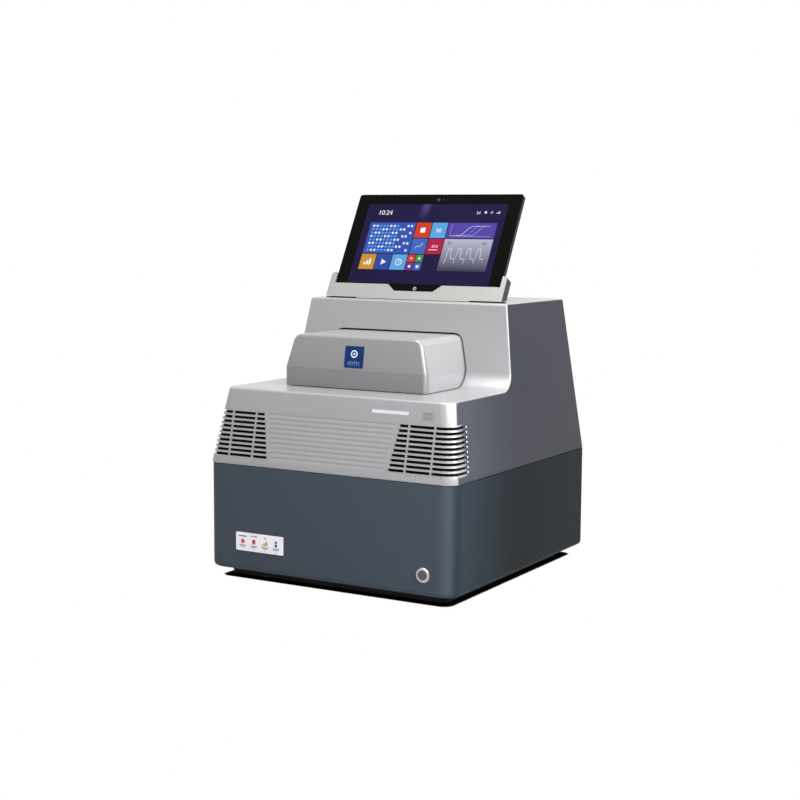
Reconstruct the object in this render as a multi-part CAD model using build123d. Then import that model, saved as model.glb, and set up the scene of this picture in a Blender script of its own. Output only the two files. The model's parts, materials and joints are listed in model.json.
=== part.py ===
from build123d import *
import math
import os

# A bench real-time thermal cycler with a sliding hood and a tablet in a tilting dock.
# Millimetres. +Z is up, the front faces -Y, +X is to the viewer's right.
# The origin is on the bench, at the centre of the footprint.

# Housings
WIDTH = 392.0
DEPTH = 418.0
WALL = 3.0
FEET_HEIGHT = 2.5
TUB_BOTTOM = 14.0
SEAM_HEIGHT = 161.5
SEAM_GAP = 0.8
DECK_HEIGHT = 266.0
ROOF_HEIGHT = 384.0
FRONT_SETBACK = 21.6
SIDE_SETBACK = 33.4
BACK_SETBACK = 8.5
TOWER_DEPTH = 221.4
RISER_LEAN = 17.5
SWEEP_RADIUS = 28.0
CORNER_RADIUS = 24.0
COVER_CORNER_RADIUS = 20.0
BACK_CORNER_RADIUS = 12.0
BOTTOM_ROUND = 6.5
EDGE_ROUND = 4.0
COVER_TUCK = 0.6
COVER_TUCK_HEIGHT = 1.2
PROUD = 1.6
TONGUE_RISE, TONGUE_INSET, TONGUE_BAND = 8.0, 2.6, 0.5
FRONT, BACK = -DEPTH / 2, DEPTH / 2
COVER_BOTTOM = SEAM_HEIGHT + SEAM_GAP / 2
TUB_TOP = SEAM_HEIGHT - SEAM_GAP / 2
RISER_Y = BACK - TOWER_DEPTH

# Plinth and feet
PLINTH_WIDTH = WIDTH - 46.0
PLINTH_Y0, PLINTH_Y1 = FRONT + 23.0, BACK - 45.0
FOOT_RADIUS = 15.0
FOOT_INSET = 30.0

# Grilles
SLOT_COUNT = 10
TOP_SLOT_Z = DECK_HEIGHT - 33.3
LOW_SLOT_Z = SEAM_HEIGHT + 13.6
SLOT_PITCH = (TOP_SLOT_Z - LOW_SLOT_Z) / (SLOT_COUNT - 1)
SLOT_HEIGHT = 0.6 * SLOT_PITCH
SLOT_COLUMNS = [(WIDTH / 2 - 89.0, WIDTH / 2 - 76.1), (WIDTH / 2 - 73.9, WIDTH / 2 - 37.6)]
WRAP_START = WIDTH / 2 - 35.4
SLOT_SLANT = 11.0
WRAP_END = FRONT + 49.5
WRAP_SLANT = 9.0
GRILLE_BORDER = 2.4
GRILLE_GAP = 0.15
RIB_MARGIN = 6.5
GROOVE_DEPTH, GROOVE_HALF = 1.0, 0.42 * SLOT_PITCH
FILTER_THICKNESS = 3.0

# Front details
BAR_X, BAR_Z = WIDTH / 2 - 105.5, DECK_HEIGHT - 17.0
BAR_LENGTH, BAR_HEIGHT = 56.0, 4.7
LABEL_X, LABEL_Z = 90.0 - WIDTH / 2, TUB_BOTTOM + 41.4
LABEL_WIDTH, LABEL_HEIGHT, LABEL_THICKNESS, LABEL_CORNER = 78.7, 25.5, 0.8, 1.5
LAMP_PITCH, LAMP_RADIUS, LAMP_HEIGHT = 18.5, 2.6, 0.4
BUTTON_X, BUTTON_Z = WIDTH / 2 - 44.6, TUB_BOTTOM + 28.1
BUTTON_RADIUS, BUTTON_CAP_RADIUS, BUTTON_TRAVEL = 10.0, 7.4, 2.0
BUTTON_BODY_RADIUS, BUTTON_BODY_LENGTH, BUTTON_BARREL = 8.8, 24.0, 14.0
BUTTON_NUT_WALL, BUTTON_NUT_THICKNESS = 4.0, 3.0
TERMINAL_SPREAD, TERMINAL_LENGTH, TERMINAL_WIDTH, TERMINAL_THICKNESS = 4.0, 18.0, 2.8, 0.8

# Hood, set on the deck and against the riser
HOOD_X = -8.65
HOOD_HALF = 113.15
HOOD_FRONT = RISER_Y - 110.1
HOOD_BACK = RISER_Y + 34.4
HOOD_BOTTOM = DECK_HEIGHT + 1.0
HOOD_CREASE = DECK_HEIGHT + 27.0
HOOD_TOP = DECK_HEIGHT + 73.0
HOOD_SIDE_LEAN = 0.24
HOOD_FRONT_LEAN = 0.16
HOOD_CROWN = 13.0
HOOD_NOSE = 5.0
HOOD_WALL = 3.0
HOOD_GAP = 2.4
HOOD_TRAVEL = 110.0
TAB_THICKNESS, TAB_OVERLAP = 6.0, 5.0
SIDE_TABS = [(RISER_Y - 11.6, RISER_Y + 0.4), (RISER_Y + 17.4, RISER_Y + 30.4)]
FRONT_TAB = (78.0, 98.0)
BADGE_X, BADGE_Z = HOOD_X - 0.5, DECK_HEIGHT + 45.0
BADGE_SIZE, BADGE_THICKNESS = 30.0, 0.8

# Thermal block
BLOCK_Y = HOOD_FRONT + 53.5
BLOCK_LENGTH, BLOCK_WIDTH, BLOCK_THICKNESS = 126.8, 84.8, 17.5
BLOCK_TOP = DECK_HEIGHT - 4.0
WELL_PITCH, WELL_COLUMNS, WELL_ROWS = 9.0, 12, 8
WELL_TOP_RADIUS, WELL_END_RADIUS, WELL_DEPTH = 2.75, 1.4, 14.5
COOLER_THICKNESS, COOLER_SIZE, COOLER_GAP = 3.6, 39.0, 2.0
NEST_GAP = 1.0
NEST_WALL = 5.0
NEST_FLANGE = 5.0
NEST_HALF_X = BLOCK_LENGTH / 2 + NEST_GAP + NEST_WALL + NEST_FLANGE
NEST_HALF_Y = BLOCK_WIDTH / 2 + NEST_GAP + NEST_WALL + NEST_FLANGE
DECK_OPENING_GAP = 0.5
SINK_TOP = BLOCK_TOP - BLOCK_THICKNESS - COOLER_THICKNESS
SINK_BASE, SINK_MARGIN = 8.0, 1.0
SINK_FIN, SINK_FIN_COUNT, SINK_FIN_INSET = 1.4, 26, 3.0
SUPPORT_SHEET, FLANGE_WIDTH = 3.0, 14.0
FAN_SIZE, FAN_THICKNESS, FAN_WALL = 60.0, 25.0, 2.0
FAN_GAP = 1.0
FAN_HUB, FAN_ARM, FAN_CORNER, FAN_HOLE_RADIUS, HUB_SHARE = 4.0, 3.0, 4.0, 2.0, 0.42
FAN_BLADES, BLADE_PITCH, BLADE_THICKNESS, BLADE_CHORD, BLADE_ROOT = 7, 38.0, 1.6, 0.24, 1.0
BLADE_CLEAR, ROTOR_CLEAR, ROTOR_RECESS = 1.2, 0.6, 2.0
SINK_FAN_X = [HOOD_X + side * (FAN_SIZE / 2 + FAN_GAP) for side in (-1, 1)]

# Chassis and hood drive
CHASSIS_TOP = SEAM_HEIGHT - 3.5
SHEET = 2.0
POST_SPREAD, POST_REACH, CHASSIS_POST_RADIUS = WIDTH / 2 - 19.0, DEPTH / 2 - 23.0, 6.0
BRIDGE_TOP = DECK_HEIGHT - 18.0
BRIDGE_HALF = 120.0
BRIDGE_FRONT, BRIDGE_BACK = RISER_Y + 6.4, BACK - 17.0
BRIDGE_MIDDLE, BRIDGE_REACH = (BRIDGE_FRONT + BRIDGE_BACK) / 2, (BRIDGE_BACK - BRIDGE_FRONT) / 2
RAIL_SPREAD, RAIL_WIDTH, RAIL_HEIGHT, RAIL_INSET = 82.0, 9.0, 8.0, 4.0
RUNNER_LENGTH, RUNNER_WIDTH, RUNNER_LIFT = 30.0, 20.0, 1.5
RUNNER_CLEAR = 0.1
RUNNER_Y = (RISER_Y + 16.4, RISER_Y + 56.4)
HOOD_SCREW_Z, HOOD_SCREW_RADIUS = BRIDGE_TOP - 17.0, 4.0
SCREW_CLEAR = 0.3
NUT_Y, NUT_LENGTH, NUT_HALF, NUT_ARM = RISER_Y + 18.4, 18.0, 9.0, 8.0
NUT_SLOT_CLEAR, NUT_SLOT_END = 1.5, 4.0
BEARING_Y0, BEARING_Y1, BEARING_LENGTH = RISER_Y + 7.4, BACK - 67.0, 6.0
HOOD_MOTOR_SIZE, HOOD_MOTOR_LENGTH = 30.0, 38.0
SCAN_MOTOR_SIZE = 28.0
MOTOR_BORE, MOTOR_CHAMFER = 10.0, 3.0
VENT_HOLE_HALF_X, VENT_HOLE_HALF_Y, VENT_HOLE_BACK = 35.0, 30.0, 60.0

# Hot lid and optics
CARRIAGE_BOTTOM = DECK_HEIGHT + 2.0
CARRIAGE_HALF, CARRIAGE_BACK, CARRIAGE_INSET = 103.0, RISER_Y + 92.4, 3.0
ARM_THICKNESS, ARM_WIDTH = 3.0, 27.0
ARM_TOP = CARRIAGE_BOTTOM + ARM_THICKNESS
ARM_FRONT, ARM_BACK = HOOD_FRONT + 6.5, RISER_Y + 7.4
END_HALF, END_RISE = 39.0, 7.0
LID_BOTTOM = BLOCK_TOP + 9.0
LID_THICKNESS, LID_HEATER = 6.0, 2.0
LID_TOP = LID_BOTTOM + LID_THICKNESS
LID_HALF_X, LID_HALF_Y, LID_HEATER_INSET = 62.0, 41.0, 2.0
LID_EAR_HALF, LID_EAR_REACH, LID_EAR_THICKNESS = 8.0, 10.0, 3.5
LID_HOLE_RADIUS = 2.0
POST_X, POST_Y, POST_RADIUS, POST_TOP = 85.0, 31.0, 3.0, LID_TOP + 19.0
POST_CAP = 2.0
SPRING_RADIUS, SPRING_WIRE, SPRING_TURNS, SPRING_CLEAR = 4.6, 1.0, 5, 0.2
SCAN_ROD_Z, SCAN_ROD_Y, SCAN_ROD_RADIUS = DECK_HEIGHT + 36.0, 30.0, 4.0
SCAN_SCREW_Z, SCAN_SCREW_RADIUS = DECK_HEIGHT + 40.0, 3.0
SCAN_TRAVEL = 99.0
SCAN_HEAD_WIDTH, SCAN_HEAD_LENGTH, SCAN_HEAD_CHAMFER = 36.0, 78.0, 2.0
SCAN_HEAD_BOTTOM, SCAN_HEAD_TOP = DECK_HEIGHT + 21.0, DECK_HEIGHT + 53.0
LENS_RADIUS, LENS_HEIGHT = 3.0, 3.0
RUN_CLEAR = 0.06

# Rear panel, its fan, inlet and sockets
PANEL_HALF, PANEL_BOTTOM, PANEL_TOP = WIDTH / 2 - 31.0, TUB_BOTTOM + 12.0, TUB_TOP - 11.1
PANEL_THICKNESS, PANEL_LEDGE = 2.0, 7.0
REAR_FAN_X, REAR_FAN_Z, REAR_FAN_SIZE = 60.0 - PANEL_HALF, PANEL_TOP - 52.0, 80.0
GUARD_WIRE, GUARD_RINGS, GUARD_HUB, GUARD_REACH = 0.7, (10.0, 17.0, 24.0, 31.0, 38.0), 8.0, 49.6
VENT_X, VENT_Z, VENT_HALF, VENT_WIDTH = 0.0, REAR_FAN_Z + 18.0, 20.0, SLOT_PITCH / 2
INLET_X, INLET_Z = PANEL_HALF - 45.0, PANEL_BOTTOM + 46.0
INLET_WIDTH, INLET_HEIGHT, INLET_DEPTH, INLET_CORNER = 48.0, 58.0, 28.0, 3.0
INLET_LIP = 2.0
SOCKET_WIDTH, SOCKET_HEIGHT, SOCKET_DEPTH, SOCKET_DROP = 24.0, 16.4, 17.0, 12.0
PIN_LENGTH, PIN_HALF_WIDTH, PIN_HALF_HEIGHT = 15.0, 1.0, 2.0
PIN_PLACES = ((-7.0, -1.9), (0.0, 1.7), (7.0, -1.9))
ROCKER_WIDTH, ROCKER_HEIGHT, ROCKER_Z, ROCKER_DEPTH = 21.0, 13.0, 15.0, 10.0
ROCKER_CLEAR, ROCKER_PIVOT, ROCKER_TRUNNION, ROCKER_DISH, ROCKER_TILT = 0.3, 1.0, 1.2, 1.2, -8.0
BOARD_BOTTOM, BOARD_THICKNESS = TUB_BOTTOM + 22.0, 1.6
BOARD_TOP = BOARD_BOTTOM + BOARD_THICKNESS
PORTS = [(5.0, 16.0, 13.5, 11.8, 8.4), (30.0, 12.0, 11.0, 8.6, 7.8), (54.0, 14.0, 7.2, 12.6, 4.9)]
PORT_LENGTH, PORT_DEPTH, PORT_RECESS = 19.0, 14.0, 0.4

# Electronics
BAY_INSET = 31.0
SUPPLY_FRONT, SUPPLY_WIDTH, SUPPLY_LENGTH, SUPPLY_HEIGHT = FRONT + 34.0, 105.0, 200.0, 45.0
SUPPLY_SLOT, SUPPLY_SLOT_PITCH, SUPPLY_SLOT_COUNT = 3.0, 9.0, 9
SUPPLY_SLOT_END, SUPPLY_SLOT_DEPTH = 15.0, 2.0
DRIVER_LEFT, DRIVER_FRONT, DRIVER_LENGTH = -40.0, FRONT + 39.0, 190.0
DRIVER_PARTS, DRIVER_PART_X, DRIVER_PART_PITCH = 4, -20.0, 40.0
PART_WIDTH, PART_LENGTH, PART_HEIGHT, PART_FRONT = 24.0, 40.0, 22.0, 20.0
CAPACITOR_RADIUS, CAPACITOR_HEIGHT, CAPACITOR_SETBACK = 8.0, 20.0, 100.0
MAIN_LEFT, MAIN_LENGTH = -30.0, 122.0
CHIP_SIZE, CHIP_HEIGHT, CHIP_X, CHIP_SETBACK = 40.0, 3.0, 20.0, 20.0
COOLED_X, COOLED_HEIGHT, COOLED_SETBACK = 90.0, 12.0, 10.0
STANDOFF_RADIUS, STANDOFF_INSET = 3.0, 5.0

# Tablet and dock, above the roof
TABLET_WIDTH, TABLET_HEIGHT, TABLET_THICKNESS = 275.0, 166.0, 8.6
TABLET_TOP_Y, TABLET_TOP_Z = RISER_Y + 118.5, ROOF_HEIGHT + 153.0
TABLET_TILT = 28.7
TILT = math.radians(TABLET_TILT)
TABLET_CORNER, TABLET_CHAMFER = 4.0, 1.5
GLASS_THICKNESS = 0.8
DOCK_WIDTH = 292.0
DOCK_WALL = 2.1
DOCK_GAP = 0.3
DOCK_BACK_DEPTH = TABLET_THICKNESS + DOCK_GAP + DOCK_WALL
DOCK_TAIL, EAR_CHAMFER = 30.0, 3.0
EAR_TOP, LIP_TOP, NOTCH_BOTTOM = TABLET_HEIGHT - 32.5, TABLET_HEIGHT - 15.0, TABLET_HEIGHT - 4.5
NOTCH_HALF, NOTCH_END_HALF = 46.0, 32.0
DOCK_CLEAR, DOCK_END_CLEAR, DOCK_MIDDLE = 0.8, 2.2, 94.0
HINGE_Z, HINGE_DEPTH = ROOF_HEIGHT + 7.5, 16.6
KNUCKLE_RADIUS, HINGE_PIN_RADIUS = 5.0, 2.0
KNUCKLE_X, KNUCKLE_WIDTH, DOCK_KNUCKLE_WIDTH = 70.0, 20.0, 8.0
BRACKET_HALF, BRACKET_FRONT, BRACKET_BACK, BRACKET_FOOT = 4.0, 5.0, 16.0, 2.0
BACK_PLATE_TOP, BACK_PLATE_HALF, BACK_PLATE_CORNER = 55.0, 118.0, 12.0
STRAP_X, STRAP_RISE, STRAP_DROP, STRAP_THICKNESS = (94.0, 114.0), 20.0, 16.0, 1.6
PLUG_HALF, PLUG_RISE, PLUG_FRONT, PLUG_BACK, PLUG_CLEAR = 12.0, 3.0, 3.0, 5.6, 0.4
POWER_KEY_X, POWER_KEY_HALF = 105.0, 6.0
VOLUME_KEY_T, VOLUME_KEY_LENGTH = 30.0, 22.0
KEY_FRONT, KEY_BACK, KEY_PROUD, KEY_SUNK, KEY_CLEAR, KEY_TRAVEL = 3.0, 5.4, 0.5, 2.0, 0.3, 0.4
CAMERA_T, CAMERA_RADIUS, CAMERA_SUNK = 9.0, 1.6, 0.1

# Fasteners
SCREW_RADIUS, SCREW_HEAD = 1.5, 1.4
PANEL_SCREW_LENGTH, COVER_SCREW_LENGTH = 5.0, 9.0
PANEL_SCREW_INSET = 4.0
PANEL_SCREWS = [(x, z) for x in (PANEL_SCREW_INSET - PANEL_HALF, 0.0, PANEL_HALF - PANEL_SCREW_INSET)
                for z in (PANEL_BOTTOM + PANEL_SCREW_INSET, PANEL_TOP - PANEL_SCREW_INSET)]
COVER_SCREW_X = (56.0 - WIDTH / 2, 0.0, WIDTH / 2 - 56.0)
COVER_SCREW_Z = SEAM_HEIGHT + 5.0


# Helpers
def block(x0, x1, y0, y1, z0, z1):
    """A box between two corners."""
    return Pos((x0 + x1) / 2, (y0 + y1) / 2, (z0 + z1) / 2) * Box(x1 - x0, y1 - y0, z1 - z0)


def plate(x, half_x, y, half_y, z0, z1):
    """A box centred on x and y."""
    return block(x - half_x, x + half_x, y - half_y, y + half_y, z0, z1)


def rod_x(x0, x1, y, z, radius):
    """A round bar along X."""
    return Pos((x0 + x1) / 2, y, z) * Rot(0, 90, 0) * Cylinder(radius, x1 - x0)


def rod_y(x, y0, y1, z, radius):
    """A round bar along Y."""
    return Pos(x, (y0 + y1) / 2, z) * Rot(90, 0, 0) * Cylinder(radius, y1 - y0)


def rod_z(x, y, z0, z1, radius):
    """A round bar along Z."""
    return Pos(x, y, (z0 + z1) / 2) * Cylinder(radius, z1 - z0)


def save(name, shape):
    """Write one piece, or a group of like pieces, under its name."""
    solids = shape.solids()
    piece = solids[0] if len(solids) == 1 else Compound(children=list(solids))
    piece.label = name
    export_step(piece, f"parts/{name}.step")


# Outlines of the housings
def rise(z):
    """Height above the seam as a share of the sloping sides."""
    return max(0.0, z - SEAM_HEIGHT) / (ROOF_HEIGHT - SEAM_HEIGHT)


def half_width_at(z):
    return WIDTH / 2 - SIDE_SETBACK * rise(z)


def front_at(z):
    return FRONT + FRONT_SETBACK * max(0.0, z - SEAM_HEIGHT) / (DECK_HEIGHT - SEAM_HEIGHT)


def back_at(z):
    return BACK - BACK_SETBACK * rise(z)


def riser_at(z):
    return RISER_Y + RISER_LEAN * (z - DECK_HEIGHT) / (ROOF_HEIGHT - DECK_HEIGHT)


def uprights(body, low_y, high_y):
    """The corner edges of a body that run upwards between two depths."""
    edges = body.edges().filter_by(GeomType.LINE)
    return [edge for edge in edges
            if abs(edge.tangent_at(0.5).Z) > 0.9 and low_y < edge.center().Y < high_y]


def cover_body(inset, bottom, top):
    """The stepped upper form with its concave sweep, inset evenly."""
    deck = DECK_HEIGHT - inset
    side = [(front_at(bottom) + inset, bottom), (front_at(deck) + inset, deck),
            (riser_at(deck) + inset, deck), (riser_at(top) + inset, top),
            (back_at(top) - inset, top), (back_at(bottom) - inset, bottom)]
    face = make_face(Polyline(*side, close=True))
    corner = face.vertices().sort_by_distance((riser_at(deck) + inset, deck, 0))[0]
    face = fillet(corner, SWEEP_RADIUS + inset)
    low, high = half_width_at(bottom) - inset, half_width_at(top) - inset
    across = make_face(Polyline((-low, bottom), (low, bottom), (high, top), (-high, top), close=True))
    body = extrude(Plane.YZ * face, WIDTH, both=True) & extrude(Plane.XZ * across, DEPTH, both=True)
    body = fillet(uprights(body, FRONT - 1, FRONT / 2), COVER_CORNER_RADIUS - inset)
    return fillet(uprights(body, BACK / 2, BACK + 1), BACK_CORNER_RADIUS - inset)


def tub_outline(z, inset):
    """The lower housing's rounded outline at a height, inset evenly."""
    shape = Rectangle(WIDTH - 2 * inset, DEPTH - 2 * inset)
    shape = fillet(shape.vertices().sort_by(Axis.Y)[:2], CORNER_RADIUS - inset)
    shape = fillet(shape.vertices().sort_by(Axis.Y)[-2:], BACK_CORNER_RADIUS - inset)
    return Pos(0, 0, z) * shape


def tub_ring(z0, z1, outer, inner):
    """A band of the lower housing's outline between two insets."""
    return extrude(tub_outline(z0, outer), z1 - z0) - extrude(tub_outline(z0, inner), z1 - z0)


# Plane of the cover's sloping front, at a height
def front_plane(x, z):
    slope = math.atan2(FRONT_SETBACK, DECK_HEIGHT - SEAM_HEIGHT)
    normal = (0, -math.cos(slope), math.sin(slope))
    return Plane(origin=(x, front_at(z), z), x_dir=(1, 0, 0), z_dir=normal)


def on_front(x, z, width, height, low, high):
    """A box standing on the sloping front, from depth low to height high."""
    body = Box(width, height, high - low)
    return front_plane(x, z) * (Pos(0, 0, (low + high) / 2) * body)


# Grilles
def slot_z(row):
    return TOP_SLOT_Z - SLOT_PITCH * row


def slot_inner(z):
    """Where the slots begin, on the slanting edge beside the middle panel."""
    return SLOT_COLUMNS[0][0] - SLOT_SLANT * (TOP_SLOT_Z - z) / (TOP_SLOT_Z - LOW_SLOT_Z)


def wrap_end(z):
    """Where the slots end on the cover's side."""
    return WRAP_END - WRAP_SLANT * (TOP_SLOT_Z - z) / (TOP_SLOT_Z - LOW_SLOT_Z)


def rib_groove(z):
    """A shallow groove across the panel between the two grilles."""
    low, high = z - GROOVE_HALF, z + GROOVE_HALF
    section = Polyline((FRONT - WALL, low), (front_at(low), low), (front_at(z) + GROOVE_DEPTH, z),
                       (front_at(high), high), (FRONT - WALL, high), close=True)
    return extrude(Plane.YZ * make_face(section), slot_inner(z) - RIB_MARGIN, both=True)


def grille_zone(side, margin):
    """The part of the cover's wall that holds one block of slots."""
    low = slot_z(SLOT_COUNT - 1) - SLOT_HEIGHT / 2 - margin
    high = slot_z(0) + SLOT_HEIGHT / 2 + margin
    across = Polyline((side * (slot_inner(low) - margin), low), (side * WIDTH, low),
                      (side * WIDTH, high), (side * (slot_inner(high) - margin), high), close=True)
    along = Polyline((FRONT - WALL, low), (wrap_end(low) + margin, low),
                     (wrap_end(high) + margin, high), (FRONT - WALL, high), close=True)
    zone = extrude(Plane.XZ * make_face(across), DEPTH, both=True)
    return zone & extrude(Plane.YZ * make_face(along), WIDTH, both=True)


def grille_slots(side):
    slots = []
    for row in range(SLOT_COUNT):
        z = slot_z(row)
        low, high = z - SLOT_HEIGHT / 2, z + SLOT_HEIGHT / 2
        columns = [(slot_inner(z), SLOT_COLUMNS[0][1]), SLOT_COLUMNS[1]]
        for x0, x1 in columns:
            slots.append(block(*sorted((side * x0, side * x1)), FRONT - WALL, wrap_end(z), low, high))
        slots.append(block(*sorted((side * WRAP_START, side * WIDTH)), FRONT - WALL, wrap_end(z), low, high))
    return slots


def make_covers():
    """The upper cover with its aperture and openings, and the two grilles let into it."""
    outer = cover_body(0.0, COVER_BOTTOM, ROOF_HEIGHT)
    sweep_edge = RISER_Y - SWEEP_RADIUS - WALL
    crests = [edge for edge in outer.edges()
              if edge.bounding_box().min.Z > DECK_HEIGHT - 1
              and not (abs(edge.center().X) < 1 and sweep_edge < edge.center().Y < RISER_Y + RISER_LEAN
                       and edge.center().Z < DECK_HEIGHT + SWEEP_RADIUS)]
    outer = fillet(crests, EDGE_ROUND)
    base = outer.faces().sort_by(Axis.Z)[0]
    outer = chamfer(base.edges(), COVER_TUCK, COVER_TUCK_HEIGHT, reference=base)
    shell = outer - cover_body(WALL, COVER_BOTTOM - 1, ROOF_HEIGHT - WALL)

    sill_half = HOOD_HALF + HOOD_GAP + WALL
    sill = block(HOOD_X - sill_half, HOOD_X + sill_half, sweep_edge, RISER_Y + 4 * WALL,
                 DECK_HEIGHT - WALL, DECK_HEIGHT)
    aperture = hood_section(-HOOD_GAP, DECK_HEIGHT, sweep_edge - WALL, HOOD_BACK)
    deck_opening = plate(HOOD_X, NEST_HALF_X + DECK_OPENING_GAP, BLOCK_Y, NEST_HALF_Y + DECK_OPENING_GAP,
                         DECK_HEIGHT - 2 * WALL, DECK_HEIGHT + 1)
    grooves = [rib_groove(slot_z(row)) for row in range(SLOT_COUNT)]
    bar_slot = on_front(BAR_X, BAR_Z, BAR_LENGTH, BAR_HEIGHT, -2 * WALL, WALL)
    holes = [rod_y(x, BACK - 3 * WALL, BACK + WALL, COVER_SCREW_Z, SCREW_RADIUS + RUN_CLEAR)
             for x in COVER_SCREW_X]
    cover = shell + sill - aperture - deck_opening - bar_slot - grooves - holes
    cover -= [grille_zone(side, GRILLE_BORDER) for side in (-1, 1)]
    save("upper_cover", cover)

    inner = GRILLE_BORDER - GRILLE_GAP
    grilles = [(shell & grille_zone(side, inner)) - grille_slots(side) for side in (-1, 1)]
    save("louvre_grilles", Part() + grilles)

    skin = cover_body(WALL + GRILLE_GAP, COVER_BOTTOM - 1, ROOF_HEIGHT - WALL)
    core = cover_body(WALL + FILTER_THICKNESS, COVER_BOTTOM - 2, ROOF_HEIGHT - WALL)
    pad = skin - core
    save("dust_filters", Part() + [pad & grille_zone(side, GRILLE_BORDER) for side in (-1, 1)])


def make_front_details():
    """The light bar and the status label with its four lamps."""
    save("light_bar", on_front(BAR_X, BAR_Z, BAR_LENGTH - 2 * GRILLE_GAP,
                               BAR_HEIGHT - 2 * GRILLE_GAP, -WALL, 0))
    label = block(LABEL_X - LABEL_WIDTH / 2, LABEL_X + LABEL_WIDTH / 2, FRONT - LABEL_THICKNESS, FRONT,
                  LABEL_Z - LABEL_HEIGHT / 2, LABEL_Z + LABEL_HEIGHT / 2)
    save("status_label", fillet(label.edges().filter_by(Axis.Y), LABEL_CORNER))
    lamps = [rod_y(LABEL_X + (i - 1.5) * LAMP_PITCH, FRONT - LABEL_THICKNESS - LAMP_HEIGHT,
                   FRONT - LABEL_THICKNESS, LABEL_Z, LAMP_RADIUS) for i in range(4)]
    save("status_lamps", Part() + lamps)


# Lower housing
def make_lower():
    """Feet, plinth, tub and the rear panel with everything in it."""
    x_half = PLINTH_WIDTH / 2
    feet = [rod_z(sx * (x_half - FOOT_INSET), y, 0, FEET_HEIGHT, FOOT_RADIUS)
            for sx in (-1, 1) for y in (PLINTH_Y0 + FOOT_INSET, PLINTH_Y1 - FOOT_INSET)]
    save("feet", Part() + feet)
    plinth = block(-x_half, x_half, PLINTH_Y0, PLINTH_Y1, FEET_HEIGHT, TUB_BOTTOM)
    plinth = fillet(plinth.edges().filter_by(Axis.Z), CORNER_RADIUS / 2)
    save("plinth", plinth - block(-x_half + WALL, x_half - WALL, PLINTH_Y0 + WALL, PLINTH_Y1 - WALL,
                                  FEET_HEIGHT + WALL, TUB_BOTTOM))

    tub = extrude(tub_outline(TUB_BOTTOM, 0), TUB_TOP - TUB_BOTTOM)
    tub = fillet(tub.faces().sort_by(Axis.Z)[0].edges(), BOTTOM_ROUND)
    tub -= extrude(tub_outline(TUB_BOTTOM + WALL, WALL), TUB_TOP)
    tub += tub_ring(TUB_TOP - TONGUE_RISE, TUB_TOP, WALL - TONGUE_BAND, WALL + TONGUE_INSET + TONGUE_BAND)
    tub += tub_ring(TUB_TOP - TONGUE_RISE, COVER_BOTTOM + TONGUE_RISE, WALL + TONGUE_INSET,
                    WALL + TONGUE_INSET + SHEET)
    tub += [rod_z(sx * POST_SPREAD, y, TUB_BOTTOM + WALL, CHASSIS_TOP - SHEET, CHASSIS_POST_RADIUS)
            for sx in (-1, 1) for y in (-POST_REACH, POST_REACH)]
    tub -= rod_y(BUTTON_X, FRONT - 1, FRONT + 2 * WALL, BUTTON_Z, BUTTON_BODY_RADIUS)
    tub -= block(PANEL_LEDGE - PANEL_HALF, PANEL_HALF - PANEL_LEDGE, BACK - 2 * WALL, BACK + 1,
                 PANEL_BOTTOM + PANEL_LEDGE, PANEL_TOP - PANEL_LEDGE)
    tub -= block(-PANEL_HALF, PANEL_HALF, BACK - PANEL_THICKNESS, BACK + 1, PANEL_BOTTOM, PANEL_TOP)
    tub -= [rod_y(x, BACK - 3 * WALL, BACK, z, SCREW_RADIUS + RUN_CLEAR) for x, z in PANEL_SCREWS]
    tub -= [rod_y(x, BACK - 4 * WALL, BACK + WALL, COVER_SCREW_Z, SCREW_RADIUS + RUN_CLEAR)
            for x in COVER_SCREW_X]
    save("lower_housing", tub)

    edge = GRILLE_GAP
    panel = block(-PANEL_HALF + edge, PANEL_HALF - edge, BACK - PANEL_THICKNESS, BACK,
                  PANEL_BOTTOM + edge, PANEL_TOP - edge)
    y0, y1 = BACK - 2 * PANEL_THICKNESS, BACK + PANEL_THICKNESS
    panel -= rod_y(REAR_FAN_X, y0, y1, REAR_FAN_Z, REAR_FAN_SIZE / 2 - FAN_WALL)
    panel -= inlet_block(INLET_LIP, y0, y1)
    panel -= [block(x - w / 2 - edge, x + w / 2 + edge, y0, y1, BOARD_TOP - edge, BOARD_TOP + h + edge)
              for x, w, h, _, _ in PORTS]
    panel -= [rod_y(x, y0, y1, z, SCREW_RADIUS + RUN_CLEAR) for x, z in PANEL_SCREWS]
    panel -= [block(x, x + VENT_WIDTH, y0, y1, VENT_Z - VENT_HALF, VENT_Z + VENT_HALF)
              for x in [VENT_X + SLOT_PITCH * i for i in range(SLOT_COUNT)]]
    save("rear_panel", panel)

    heads = [rod_y(x, BACK, BACK + SCREW_HEAD, z, 2 * SCREW_RADIUS) for x, z in PANEL_SCREWS]
    shanks = [rod_y(x, BACK - PANEL_SCREW_LENGTH, BACK, z, SCREW_RADIUS) for x, z in PANEL_SCREWS]
    screws = Part() + heads + shanks
    cover_back = back_at(COVER_SCREW_Z - 2 * SCREW_RADIUS)
    heads = [rod_y(x, cover_back, BACK + SCREW_HEAD, COVER_SCREW_Z, 2 * SCREW_RADIUS) for x in COVER_SCREW_X]
    shanks = [rod_y(x, cover_back - COVER_SCREW_LENGTH, cover_back, COVER_SCREW_Z, SCREW_RADIUS)
              for x in COVER_SCREW_X]
    save("rear_screws", screws + heads + shanks)


def inlet_block(margin, y0, y1):
    """The inlet's outline run between two depths, drawn in by a margin."""
    return block(INLET_X - INLET_WIDTH / 2 + margin, INLET_X + INLET_WIDTH / 2 - margin, y0, y1,
                 INLET_Z - INLET_HEIGHT / 2 + margin, INLET_Z + INLET_HEIGHT / 2 - margin)


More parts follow.
